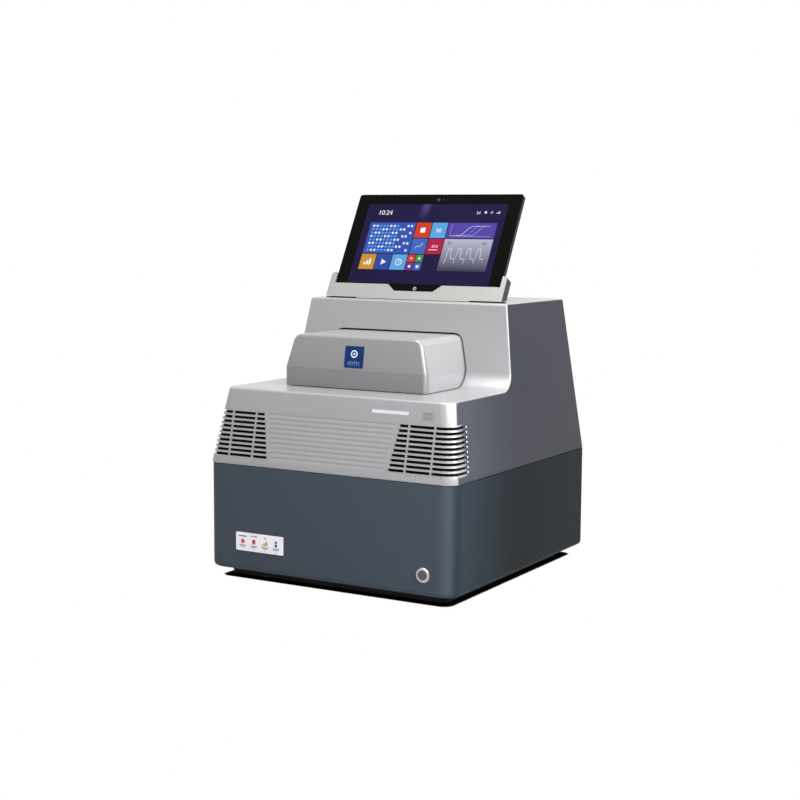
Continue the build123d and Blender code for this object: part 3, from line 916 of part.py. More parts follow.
def make_tablet():
    """The tablet's body, front glass, camera and two keys."""
    half, sunk = TABLET_WIDTH / 2, KEY_SUNK + KEY_TRAVEL + KEY_CLEAR
    body = block(-half, half, -TABLET_HEIGHT, 0, -TABLET_THICKNESS, -GLASS_THICKNESS)
    body = fillet(body.edges().filter_by(Axis.Z), TABLET_CORNER)
    body = TABLET_PLANE * chamfer(body.faces().sort_by(Axis.Z)[0].edges(), TABLET_CHAMFER)
    body -= slab(-PLUG_HALF - PLUG_CLEAR, PLUG_HALF + PLUG_CLEAR, TABLET_HEIGHT - PLUG_RISE - PLUG_CLEAR,
                 TABLET_HEIGHT + 1, PLUG_FRONT - PLUG_CLEAR, PLUG_BACK + PLUG_CLEAR)
    depths = (KEY_FRONT - KEY_CLEAR, KEY_BACK + KEY_CLEAR)
    power_start, power_end = POWER_KEY_X - POWER_KEY_HALF, POWER_KEY_X + POWER_KEY_HALF
    body -= slab(power_start - KEY_CLEAR, power_end + KEY_CLEAR, -1, sunk, *depths)
    volume_end = VOLUME_KEY_T + VOLUME_KEY_LENGTH
    body -= slab(-half - 1, sunk - half, VOLUME_KEY_T - KEY_CLEAR, volume_end + KEY_CLEAR, *depths)
    save("tablet_body", body)

    glass = block(-half, half, -TABLET_HEIGHT, 0, -GLASS_THICKNESS, 0)
    glass = TABLET_PLANE * fillet(glass.edges().filter_by(Axis.Z), TABLET_CORNER)
    window = (-CAMERA_RADIUS, CAMERA_RADIUS, CAMERA_T - CAMERA_RADIUS, CAMERA_T + CAMERA_RADIUS)
    save("tablet_glass", glass - slab(*window, -1, GLASS_THICKNESS + 1))
    save("tablet_camera", slab(*window, CAMERA_SUNK, GLASS_THICKNESS))
    power_key = slab(power_start, power_end, -KEY_PROUD, KEY_SUNK, KEY_FRONT, KEY_BACK)
    save("tablet_power_key", power_key)
    volume_key = slab(-half - KEY_PROUD, KEY_SUNK - half, VOLUME_KEY_T, volume_end, KEY_FRONT, KEY_BACK)
    save("tablet_volume_key", volume_key)


def main():
    os.makedirs("parts", exist_ok=True)
    make_lower()
    make_inlet()
    make_fans()
    make_chassis()
    make_electronics()
    make_block()
    make_covers()
    make_front_details()
    make_hood()
    make_lid()
    make_optics()
    make_button()
    make_dock()
    make_tablet()


main()
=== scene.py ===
"""The looks of a bench thermal cycler: finishes, screen page, small marks and studio."""

import json
import math

import bmesh
import bpy
from bpy.props import FloatProperty, FloatVectorProperty, PointerProperty
from mathutils import Matrix, Vector


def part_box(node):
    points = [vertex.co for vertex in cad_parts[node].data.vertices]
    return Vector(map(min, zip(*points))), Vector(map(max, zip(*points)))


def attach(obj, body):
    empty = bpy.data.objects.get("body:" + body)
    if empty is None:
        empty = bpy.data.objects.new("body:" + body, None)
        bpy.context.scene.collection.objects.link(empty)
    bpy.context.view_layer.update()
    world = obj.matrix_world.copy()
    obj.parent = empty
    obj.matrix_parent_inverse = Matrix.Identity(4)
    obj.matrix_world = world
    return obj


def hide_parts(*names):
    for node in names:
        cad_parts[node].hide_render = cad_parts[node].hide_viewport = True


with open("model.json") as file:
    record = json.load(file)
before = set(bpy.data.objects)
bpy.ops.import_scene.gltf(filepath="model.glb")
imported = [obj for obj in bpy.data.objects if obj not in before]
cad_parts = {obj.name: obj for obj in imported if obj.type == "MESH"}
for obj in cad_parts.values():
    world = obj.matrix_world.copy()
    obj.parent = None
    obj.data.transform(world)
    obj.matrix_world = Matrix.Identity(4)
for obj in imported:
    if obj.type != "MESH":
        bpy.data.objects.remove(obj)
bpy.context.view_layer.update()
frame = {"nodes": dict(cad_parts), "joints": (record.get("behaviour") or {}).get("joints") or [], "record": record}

bl_info = {
    "name": "Thermal Cycler",
    "version": (1, 0, 0),
    "blender": (4, 5, 0),
    "location": "View3D > Sidebar > Cycler",
    "description": "Finishes, screen page, marks and studio of a bench thermal cycler",
    "category": "Object",
}

MM = 0.001

# Shape of the upper cover, which its two-tone paint follows
SEAM_HEIGHT = 161.5 * MM
ROOF_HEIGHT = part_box("upper_cover")[1].z
HALF_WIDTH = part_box("lower_housing")[1].x
SIDE_SETBACK = 33.4 * MM
BACK_SETBACK = 8.5 * MM

# Where the paints change, where painted shade begins on the hood and on the lower housing's sides, and how soft
# their edges are
MASK_INSET, MASK_BLUR = 1.1 * MM, 1.0 * MM
LOUVRE_REACH, LOUVRE_BLUR = 36 * MM, 18 * MM
HOOD_FRONT, HOOD_FRONT_BLUR = 11 * MM, 5 * MM
HOOD_BAND, HOOD_BAND_BLUR = 26 * MM, 1 * MM
SLATE_CORNER, SLATE_BLUR = 6 * MM, 9 * MM

# Where the painted shade on the sides is half dark, and over what length it deepens, as shares of the depth
SHADE_MIDDLE, SHADE_BLUR = 0.22, 0.55

# Streak of light on the screen's ground: its place, its half width and how far it comes down
STREAK_X, STREAK_WIDTH, STREAK_BLUR = 15 * MM, 6 * MM, 12 * MM
STREAK_REACH, STREAK_FADE = 30 * MM, 34 * MM

# Thin parts, and the layers that printed shapes are laid in
GLASS_THICKNESS = 0.8 * MM
BADGE_THICKNESS = 0.8 * MM
LAYER = 0.06 * MM

# Louvres, whose ends carry bright studs as painted highlights, with each rib as a share of the pitch
LOUVRE_SLOTS = 10
LOUVRE_RIB = 0.4
LOUVRE_BORDER = 2.4 * MM
LOUVRE_SLANT = 9.0 * MM
STUD_RADIUS = 1.2 * MM

# Dark pads under the dock's ends that paint the shade of the gap there, in millimetres and printed layers
PAD_START = 94
PAD_SETBACK = 15
PAD_DEPTH = 14
PAD_LAYERS = 20

# Engraved frame on the front, and the share of the button's radius inside its bright rim, within which the dish is
# painted darker as shade
FRAME_X = 148 * MM
FRAME_RISE = 0.3 * MM
DISH_SHARE = 0.9

# Floor, and the shadow painted near black on it under the housing
FLOOR_REACH = 30
SHADOW_INSET = 14 * MM
SHADOW_CORNER = 14 * MM


def hue(red, green, blue):
    """A colour given as the eye sees it, 0 to 255, in linear light."""
    return tuple(((level / 255 + 0.055) / 1.055) ** 2.4 if level > 10 else level / 255 / 12.92
                 for level in (red, green, blue))


# Settings of each kind, which the panel shows
def colour(label, red, green, blue, note):
    return FloatVectorProperty(name=label, description=note, subtype="COLOR", size=3, min=0, max=1,
                               default=hue(red, green, blue))


def length(label, millimetres, note):
    return FloatProperty(name=label, description=note, subtype="DISTANCE", unit="LENGTH", min=0,
                         default=millimetres * MM)


def share(label, value, note):
    return FloatProperty(name=label, description=note, subtype="FACTOR", min=0, max=1, default=value)


def metres(label, value, note):
    return FloatProperty(name=label, description=note, unit="LENGTH", default=value)


def angle(label, degrees, note):
    return FloatProperty(name=label, description=note, subtype="ANGLE", default=math.radians(degrees))


def brightness(label, value, note):
    return FloatProperty(name=label, description=note, min=0, default=value)


class CyclerPaints(bpy.types.PropertyGroup):
    """Colours of the housings"""

    silver: colour("Silver", 155, 155, 157, "Paint of the cover's front and top, the hood and the dock")
    side: colour("Side", 60, 62, 73, "Paint of the cover's sides and back")
    slate: colour("Slate", 66, 74, 84, "Paint of the lower housing")
    # Painted shade: a darker copy of the slate paint for the lower housing's less lit sides
    slate_shaded_side: colour("Slate side", 36, 46, 54, "Paint of the lower housing's sides")
    panel: colour("Rear panel", 52, 55, 60, "Powder coat of the rear panel")
    metallic: share("Metallic", 0.3, "How much of the silver paint is metal flake")
    silver_roughness: share("Silver roughness", 0.29, "How far the silver paint spreads its reflections")
    slate_roughness: share("Slate roughness", 0.5, "How far the slate paint spreads its reflections")


class CyclerScreen(bpy.types.PropertyGroup):
    """The tablet's picture"""

    width: length("Width", 234.6, "Width of the lit picture")
    height: length("Height", 132.0, "Height of the lit picture")
    top: length("Top border", 16.5, "Black border above the picture")
    ground: colour("Ground", 33, 27, 65, "Colour behind the tiles")
    glow: colour("Glow", 89, 70, 135, "Colour of the streak at the top")
    light: share("Light", 0.85, "How much of the picture's brightness is its own light")


class CyclerStudio(bpy.types.PropertyGroup):
    """Camera and lamps"""

    camera_x: metres("Camera X", 1.09806, "Camera place to the right")
    camera_y: metres("Camera Y", -1.90785, "Camera place in depth")
    camera_z: metres("Camera Z", 0.49649, "Camera height")
    yaw: angle("Yaw", 30.04, "Camera turn to the left")
    pitch: angle("Pitch", 6.633, "Camera tilt downwards")
    roll: angle("Roll", 0.374, "Camera roll")
    lens: FloatProperty(name="Lens", description="Focal length on a 36 mm sensor", unit="CAMERA",
                        default=68.99)
    back: brightness("Backdrop", 0.9, "Strength of the light from behind")
    front: brightness("Room", 0.2, "Strength of the light from the front")


# Shader arithmetic
class Value:
    """A shader socket that takes part in plain arithmetic."""

    def __init__(self, finish, socket):
        self.finish = finish
        self.socket = socket

    def math(self, operation, *values):
        return self.finish.node("ShaderNodeMath", {"operation": operation}, list(values))

    def __add__(self, other):
        return self.math("ADD", self, other)

    def __sub__(self, other):
        return self.math("SUBTRACT", self, other)

    def __rsub__(self, other):
        return self.math("SUBTRACT", other, self)

    def __mul__(self, other):
        return self.math("MULTIPLY", self, other)

    def __truediv__(self, other):
        return self.math("DIVIDE", self, other)

    def __rtruediv__(self, other):
        return self.math("DIVIDE", other, self)

    def __abs__(self):
        return self.math("ABSOLUTE", self)

    def __mod__(self, other):
        return self.math("FLOORED_MODULO", self, other)

    __radd__ = __add__
    __rmul__ = __mul__

    def above(self, edge, blur):
        """0 below an edge and 1 above it, with a soft change of the given width."""
        return self.finish.node("ShaderNodeMapRange", {"interpolation_type": "SMOOTHSTEP"},
                                {"Value": self, "From Min": edge - blur / 2, "From Max": edge + blur / 2})

    def root(self):
        return self.math("SQRT", self)

    def most(self, other):
        return self.math("MAXIMUM", self, other)


class Finish:
    """A material made of nodes, on a Principled shader."""

    def __init__(self, name, **fixed):
        self.material = bpy.data.materials.new(name)
        self.material.use_nodes = True
        self.tree = self.material.node_tree
        self.tree.nodes.clear()
        self.principled = self.tree.nodes.new("ShaderNodeBsdfPrincipled")
        output = self.tree.nodes.new("ShaderNodeOutputMaterial")
        self.tree.links.new(self.principled.outputs[0], output.inputs[0])
        for label, value in fixed.items():
            self.set(label.replace("_", " ").title(), value)

    def set(self, label, value):
        """Give one of the shader's inputs a number, a colour or a link."""
        socket = self.principled.inputs[label.replace("Ior", "IOR")]
        if isinstance(value, Value):
            self.tree.links.new(value.socket, socket)
        elif isinstance(value, (tuple, list)) and len(value) == 3:
            socket.default_value = (*value, 1)
        else:
            socket.default_value = value

    def done(self, base, roughness):
        """Set the base colour and roughness, and give the material."""
        self.set("Base Color", base)
        self.set("Roughness", roughness)
        return self.material

    def node(self, kind, settings=None, inputs=(), output=0):
        """Any node, its settings first and then the values or links of its inputs."""
        made = self.tree.nodes.new(kind)
        for name, value in (settings or {}).items():
            setattr(made, name, value)
        pairs = inputs.items() if isinstance(inputs, dict) else enumerate(inputs)
        for key, value in pairs:
            if isinstance(value, Value):
                self.tree.links.new(value.socket, made.inputs[key])
            elif isinstance(value, (tuple, list)) and len(value) == 3 and made.inputs[key].type == "RGBA":
                made.inputs[key].default_value = (*value, 1)
            else:
                made.inputs[key].default_value = value
        return Value(self, made.outputs[output])

    def place(self):
        """The point on the piece, in metres in the shared frame."""
        return self.node("ShaderNodeTexCoord", output="Object")

    def axes(self):
        """The point's X, Y and Z."""
        split = self.node("ShaderNodeSeparateXYZ", inputs=[self.place()])
        outputs = split.socket.node.outputs
        return [Value(self, outputs[i]) for i in range(3)]

    def tint(self):
        """The colour painted on the piece's own faces."""
        return self.node("ShaderNodeAttribute", {"attribute_name": "tint"})

    def mix(self, factor, first, second):
        """A colour between two others."""
        return self.node("ShaderNodeMix", {"data_type": "RGBA"}, {0: factor, 6: first, 7: second}, output=2)

    def noise(self, scale, detail=2.0, stretch=(1, 1, 1), roughness=0.5):
        """Grain with so many cells in a metre, stretched along the axes."""
        turned = self.node("ShaderNodeMapping", inputs={"Vector": self.place(), "Scale": stretch})
        return self.node("ShaderNodeTexNoise", inputs={"Vector": turned, "Scale": scale, "Detail": detail,
                                                       "Roughness": roughness})

    def cells(self, scale, output=0):
        """Cells with so many in a metre, as distances from their middles or as colours."""
        return self.node("ShaderNodeTexVoronoi", inputs={"Vector": self.place(), "Scale": scale},
                         output=output)

    def bump(self, height, depth, strength=1.0):
        """Raise the surface by a height of 0 to 1 times a depth in metres."""
        self.set("Normal", self.node("ShaderNodeBump", inputs={"Height": height, "Distance": depth,
                                                                "Strength": strength}))

    def tinted(self, base, factor, amount):
        """A base colour made lighter and darker by a grain."""
        return self.mix(factor, scaled(base, 1 - amount), scaled(base, 1 + amount))


def scaled(tone, factor):
    """A colour made lighter or darker."""
    return tuple(min(1.0, level * factor) for level in tone)


def handled_roughness(finish, base, spread):
    """Roughness with the faint smears of handling."""
    smears = finish.noise(9.0, 4.0)
    fine = finish.noise(160.0, 2.0)
    return smears * spread + fine * (spread / 2) + (base - spread * 0.75)


def painted_shade_behind(finish, tone, amount):
    """Painted shade: a colour that deepens from the machine's front to its back."""
    _, y, _ = finish.axes()
    low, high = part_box("lower_housing")
    deep = ((y - low.y) / (high.y - low.y)).above(SHADE_MIDDLE, SHADE_BLUR)
    return finish.mix(deep, tone, scaled(tone, 1 - amount))


# Finishes
def flake_paint(name):
    """The start of each silver paint: its finish, its grain and its roughness."""
    paints = bpy.context.scene.cycler_paints
    finish = Finish(name, specular_ior_level=0.25, metallic=paints.metallic)
    grain = finish.noise(2600.0, 1.0)
    finish.bump(grain, 0.02 * MM, 0.35)
    return finish, grain, handled_roughness(finish, paints.silver_roughness, 0.05)


def silver_paint(name="silver_paint", two_tone=False, reach=0.0):
    """Metallic paint. In two tones the sides and back are dark, past so much of the side's front, and their dark
    paint carries painted shade that deepens towards the back.
    """
    paints = bpy.context.scene.cycler_paints
    finish, grain, roughness = flake_paint(name)
    tone = finish.tinted(paints.silver, grain * 0.7 + finish.noise(5.0, 2.0) * 0.3, 0.07)
    if two_tone:
        x, y, z = finish.axes()
        low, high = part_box("lower_housing")
        rise = ((z - SEAM_HEIGHT) / (ROOF_HEIGHT - SEAM_HEIGHT)).most(0.0)
        past_side = abs(x) + rise * SIDE_SETBACK - HALF_WIDTH
        past_back = y + rise * BACK_SETBACK - high.y
        mask = past_side.above(-MASK_INSET, MASK_BLUR).most(past_back.above(-MASK_INSET, MASK_BLUR))
        if reach:
            mask = mask * (y - low.y).above(reach, LOUVRE_BLUR)
        # The sides' dark paint carries painted shade that deepens towards the back
        tone = finish.mix(mask, tone, painted_shade_behind(finish, tuple(paints.side), 0.6))
        roughness = roughness + mask * (paints.slate_roughness - paints.silver_roughness)
        finish.set("Metallic", (1 - mask * 0.7) * paints.metallic)
    return finish.done(tone, roughness)


def hood_paint_and_shade():
    """Silver with painted shade: darker on the front and darkest on the upright band below."""
    silver = bpy.context.scene.cycler_paints.silver
    finish, grain, roughness = flake_paint("hood_paint_and_shade")
    _, y, z = finish.axes()
    low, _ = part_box("hood_shell")
    # Painted shade: darker copies of the silver on the front and on its upright band
    front = 1 - (y - low.y).above(HOOD_FRONT, HOOD_FRONT_BLUR)
    band = 1 - (z - low.z).above(HOOD_BAND, HOOD_BAND_BLUR)
    dark = finish.mix(band, scaled(silver, 0.80), scaled(silver, 0.68))
    return finish.done(finish.mix(front, finish.tinted(silver, grain, 0.07), dark), roughness)


def dock_paint():
    """Warm silver with dark ends."""
    silver = bpy.context.scene.cycler_paints.silver
    finish, grain, roughness = flake_paint("dock_paint")
    x, _, _ = finish.axes()
    ends = abs(x).above(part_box("dock_tray")[1].x - 0.5 * MM, 0.5 * MM)
    warm = tuple(level * factor for level, factor in zip(silver, (1.02, 1.0, 0.94)))
    return finish.done(finish.mix(ends, finish.tinted(warm, grain, 0.05), hue(34, 36, 38)), roughness)


def slate_paint():
    """Satin paint of the lower housing, with painted shade on its sides that deepens towards the back."""
    paints = bpy.context.scene.cycler_paints
    finish = Finish("slate_paint", specular_ior_level=0.07)
    grain = finish.noise(1900.0, 1.0)
    x, _, _ = finish.axes()
    # Painted shade on the sides, darker still towards the back
    side = abs(x).above(HALF_WIDTH - SLATE_CORNER, SLATE_BLUR)
    front = finish.tinted(tuple(paints.slate), grain, 0.10)
    finish.bump(grain, 0.03 * MM, 0.4)
    return finish.done(finish.mix(side, front, painted_shade_behind(finish, tuple(paints.slate_shaded_side), 0.75)),
                       handled_roughness(finish, paints.slate_roughness, 0.06))


def powder_coat():
    """Rough paint of the rear panel."""
    finish = Finish("powder_coat")
    orange_peel = finish.noise(700.0, 2.0)
    finish.bump(orange_peel, 0.06 * MM, 0.6)
    return finish.done(finish.tinted(bpy.context.scene.cycler_paints.panel, orange_peel, 0.12),
                       handled_roughness(finish, 0.55, 0.08))


def moulded_plastic(name, tone, roughness):
    """Spark-eroded moulding texture."""
    finish = Finish(name, specular_ior_level=0.15)
    pits = finish.noise(1100.0, 3.0)
    cloud = finish.noise(14.0, 3.0)
    finish.bump(pits, 0.05 * MM, 0.5)
    return finish.done(finish.tinted(tone, pits * 0.6 + cloud * 0.4, 0.14),
                       handled_roughness(finish, roughness, 0.1))


def gloss_plastic():
    """Black plastic with the faint streaks of wiping."""
    finish = Finish("gloss_black", specular_ior_level=0.15)
    wipe = finish.noise(30.0, 4.0, (1, 1, 3))
    return finish.done(finish.tinted(hue(10, 10, 11), wipe, 0.08), wipe * 0.08 + 0.08)


def rubber():
    """Crumbly black rubber."""
    finish = Finish("foot_rubber", sheen_weight=0.2)
    crumb = finish.noise(900.0, 4.0)
    finish.bump(crumb, 0.08 * MM, 0.6)
    return finish.done(finish.tinted(hue(28, 28, 30), crumb, 0.25), crumb * 0.15 + 0.75)


def brushed_metal(name, tone, roughness):
    """Metal with fine scratches along one axis."""
    finish = Finish(name, metallic=1.0)
    scratches = finish.noise(60.0, 5.0, (40, 1, 40), 0.65)
    cloud = finish.noise(25.0, 3.0)
    finish.bump(scratches, 0.01 * MM, 0.4)
    return finish.done(finish.tinted(tone, scratches * 0.7 + cloud * 0.3, 0.10),
                       scratches * 0.14 + cloud * 0.08 + (roughness - 0.11))


def zinc_sheet():
    """Galvanised sheet with its crystals."""
    finish = Finish("zinc_sheet", metallic=1.0)
    spangle = finish.cells(110.0, output="Color")
    shade = finish.node("ShaderNodeSeparateColor", inputs=[spangle])
    return finish.done(finish.tinted(hue(176, 179, 183), shade, 0.16), shade * 0.18 + 0.28)


def blasted_aluminium():
    """Aluminium blasted with beads."""
    finish = Finish("blasted_aluminium", metallic=1.0)
    beads = finish.noise(2100.0, 2.0)
    cloud = finish.noise(20.0, 3.0)
    finish.bump(beads, 0.02 * MM, 0.4)
    return finish.done(finish.tinted(hue(198, 200, 203), cloud * 0.5 + beads * 0.5, 0.08),
                       beads * 0.12 + cloud * 0.08 + 0.28)


def circuit_board():
    """Solder mask over copper tracks that run in steps."""
    finish = Finish("circuit_board", coat_weight=0.5, coat_roughness=0.15)
    bricks = finish.node("ShaderNodeTexBrick", {"offset": 0.37, "squash": 0.6, "squash_frequency": 3},
                         {"Vector": finish.place(), "Scale": 55.0, "Mortar Size": 0.012,
                          "Mortar Smooth": 0.4}, output="Fac")
    _, _, z = finish.axes()
    tall = z.above(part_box("driver_board")[0].z + 1.7 * MM, 0.1 * MM)
    mask = finish.mix(bricks, hue(17, 74, 46), hue(46, 118, 74))
    parts = finish.tinted(hue(38, 38, 42), finish.noise(90.0, 3.0), 0.3)
    finish.bump(bricks, 0.04 * MM, 0.5)
    return finish.done(finish.mix(tall, mask, parts), tall * 0.2 + 0.32)


def filter_foam():
    """Black foam with open pores."""
    finish = Finish("filter_foam", specular_ior_level=0.1)
    pores = finish.cells(900.0)
    finish.bump(pores, 0.4 * MM, 0.8)
    return finish.done(finish.tinted(hue(12, 12, 13), pores, 0.5), 0.95 - pores * 0.1)


def heater_film():
    """Amber film with the darker line of its heating track."""
    finish = Finish("heater_film", coat_weight=0.4, coat_roughness=0.1)
    _, y, _ = finish.axes()
    track = abs((y / (4.5 * MM)) % 1.0 - 0.5).above(0.36, 0.08)
    finish.bump(track, 0.03 * MM)
    return finish.done(finish.mix(track, hue(196, 118, 42), hue(120, 72, 34)), track * 0.15 + 0.25)


def ceramic():
    """Fired white ceramic."""
    finish = Finish("ceramic")
    powder = finish.noise(600.0, 3.0)
    return finish.done(finish.tinted(hue(226, 224, 216), powder, 0.06), powder * 0.1 + 0.45)


def screen_glass():
    """Black front glass of the tablet."""
    finish = Finish("screen_glass", specular_ior_level=0.04)
    smears = finish.noise(18.0, 4.0)
    return finish.done(finish.tinted(hue(7, 7, 5), smears, 0.2), smears * 0.05 + 0.05)


def lens_glass():
    """Coated glass of the scanning head's lenses."""
    finish = Finish("lens_glass", coat_weight=1.0, coat_roughness=0.02, metallic=0.3)
    return finish.done(finish.tinted(hue(40, 48, 74), finish.noise(300.0), 0.3),
                       finish.noise(50.0) * 0.06 + 0.04)


def printed(name, tone, roughness=0.45):
    """Printed film or ink."""
    finish = Finish(name, specular_ior_level=0.3)
    fibre = finish.noise(800.0, 2.0)
    return finish.done(finish.tinted(tone, fibre, 0.03), fibre * 0.1 + (roughness - 0.05))


def light_strip():
    """Frosted bar that glows faintly."""
    finish = Finish("light_strip", emission_color=hue(225, 225, 232), emission_strength=0.1)
    frost = finish.noise(900.0, 2.0)
    return finish.done(finish.tinted(hue(196, 196, 203), frost, 0.03), frost * 0.15 + 0.35)


def status_marks():
    """Small moulded marks, each in its own tint."""
    finish = Finish("status_marks", coat_weight=0.8, coat_roughness=0.05)
    grain = finish.noise(500.0, 2.0)
    return finish.done(finish.mix(grain * 0.15, finish.tint(), (0, 0, 0)), grain * 0.1 + 0.15)


def turned_steel(centre):
    """Polished steel with the fine rings of a lathe tool round an axis that runs from front to back, and painted
    shade in its dish.
    """
    finish = Finish("turned_steel", metallic=1.0)
    x, _, z = finish.axes()
    across, above = x - centre.x, z - centre.z
    radius = (across * across + above * above).root()
    rings = ((radius / (0.22 * MM)) % 1.0 - 0.5).above(0.0, 0.9)
    stain = finish.noise(220.0, 3.0)
    rim = radius.above(DISH_SHARE * (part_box("power_button")[1].x - centre.x), 0.4 * MM)
    # Painted shade: the dish is darker steel than its rim
    dish = finish.tinted(hue(92, 94, 88), stain, 0.3)
    finish.bump(rings, 0.008 * MM, 0.5)
    return finish.done(finish.mix(rim, dish, finish.tinted(hue(206, 206, 200), stain, 0.12)),
                       rings * 0.1 + stain * 0.08 + 0.12)


def badge_enamel():
    """Deep blue enamel."""
    finish = Finish("badge_enamel", specular_ior_level=0.1)
    cloud = finish.noise(120.0, 2.0)
    return finish.done(finish.tinted(hue(20, 46, 96), cloud, 0.06), cloud * 0.08 + 0.2)


def inked(name, roughness=0.45):
    """Ink or engraving in the colours of the piece's own tint."""
    finish = Finish(name, specular_ior_level=0.2)
    fibre = finish.noise(800.0, 2.0)
    return finish.done(finish.mix(fibre * 0.12, finish.tint(), (0, 0, 0)),
                       fibre * 0.1 + (roughness - 0.05))


def lit_picture(finish, tone):
    """A part of the picture: some of its colour is its own light, and the rest comes from the room."""
    light = bpy.context.scene.cycler_screen.light
    finish.set("Base Color", finish.mix(light, tone, (0, 0, 0)))
    finish.set("Emission Color", tone)
    finish.set("Emission Strength", light)
    finish.set("Roughness", finish.noise(40.0, 3.0) * 0.05 + 0.12)
    return finish.material


def page_light():
    """The lit shapes on the page, each in its own tint."""
    finish = Finish("page_light", specular_ior_level=0.04)
    return lit_picture(finish, finish.tint())


def page_ground(plane):
    """Dark ground with a soft streak of light that comes down from the top edge."""
    screen = bpy.context.scene.cycler_screen
    finish = Finish("page_ground", specular_ior_level=0.04)
    x, y, z = finish.axes()
    top, up = plane.translation, plane.col[1]
    down = (y - top.y) * -up.y + (z - top.z) * -up.z
    across = x + down * 0.1 + STREAK_X
    streak = 1 - abs(across).above(STREAK_WIDTH, STREAK_BLUR)
    fade = 1 - down.above(STREAK_REACH, STREAK_FADE)
    haze = finish.noise(9.0, 2.0)
    ground = finish.tinted(tuple(screen.ground), haze, 0.35)
    return lit_picture(finish, finish.mix(streak * fade * 0.8, ground, tuple(screen.glow)))


SLOT_FINISHES = {
    "silver_paint": silver_paint,
    "slate_paint": slate_paint,
    "black_plastic": lambda: moulded_plastic("black_plastic", hue(12, 12, 11), 0.6),
    "gloss_black": gloss_plastic,
    "dark_grey_plastic": lambda: moulded_plastic("dark_grey_plastic", hue(72, 74, 79), 0.5),
    "rubber": rubber,
    "steel": lambda: brushed_metal("steel", hue(186, 187, 188), 0.28),
    "zinc_sheet": zinc_sheet,
    "panel_paint": powder_coat,
    "aluminium": blasted_aluminium,
    "brass_pin": lambda: brushed_metal("plated_brass", hue(214, 196, 142), 0.25),
    "ceramic": ceramic,
    "board_green": circuit_board,
    "white_plastic": lambda: printed("label_film", hue(238, 236, 242)),
    "red_lamp": lambda: printed("lamp_red", hue(206, 48, 56)),
    "blue_badge": badge_enamel,
    "filter_foam": filter_foam,
    "heater_foil": heater_film,
    "glass_black": screen_glass,
    "lens_glass": lens_glass,
}
NODE_FINISHES = {
    "upper_cover": lambda: silver_paint("two_tone_paint", True),
    "louvre_grilles": lambda: silver_paint("louvre_paint", True, LOUVRE_REACH),
    "hood_shell": hood_paint_and_shade,
    "dock_tray": dock_paint,
    "light_bar": light_strip,
}


def soften(piece):
    """Shade smoothly between the sharp edges."""
    for face in piece.data.polygons:
        face.use_smooth = True
    split = piece.modifiers.new("crease", "EDGE_SPLIT")
    split.split_angle = math.radians(28)


def dress(node, material):
    """Give a CAD node its material and clean shading."""
    node.data.materials.clear()
    node.data.materials.append(material)
    weld = node.modifiers.new("weld", "WELD")
    weld.merge_threshold = 0.002 * MM
    soften(node)


class CYCLER_OT_finishes(bpy.types.Operator):
    """Give every part its finish"""

    bl_idname = "cycler.finishes"
    bl_label = "Finish the parts"

    def execute(self, context):
        made = {slot: maker() for slot, maker in SLOT_FINISHES.items()}
        special = {name: maker() for name, maker in NODE_FINISHES.items()}
        for part in frame["record"]["subparts"]:
            name = part["node"]
            dress(frame["nodes"][name], special.get(name) or made[part["material_slot"]])
        return {"FINISHED"}


# Meshes and flat shapes
def linked(name, data):
    """A new object in the scene."""
    made = bpy.data.objects.new(name, data)
    bpy.context.scene.collection.objects.link(made)
    return made


def mesh_of(bm, name):
    """A mesh of what was built, which is used up."""
    mesh = bpy.data.meshes.new(name)
    bm.to_mesh(mesh)
    bm.free()
    return mesh


def curve_mesh(curve):
    """A text or curve as a mesh."""
    holder = linked("outline", curve)
    graph = bpy.context.evaluated_depsgraph_get()
    mesh = bpy.data.meshes.new_from_object(holder.evaluated_get(graph))
    bpy.data.objects.remove(holder)
    bpy.data.curves.remove(curve)
    return mesh


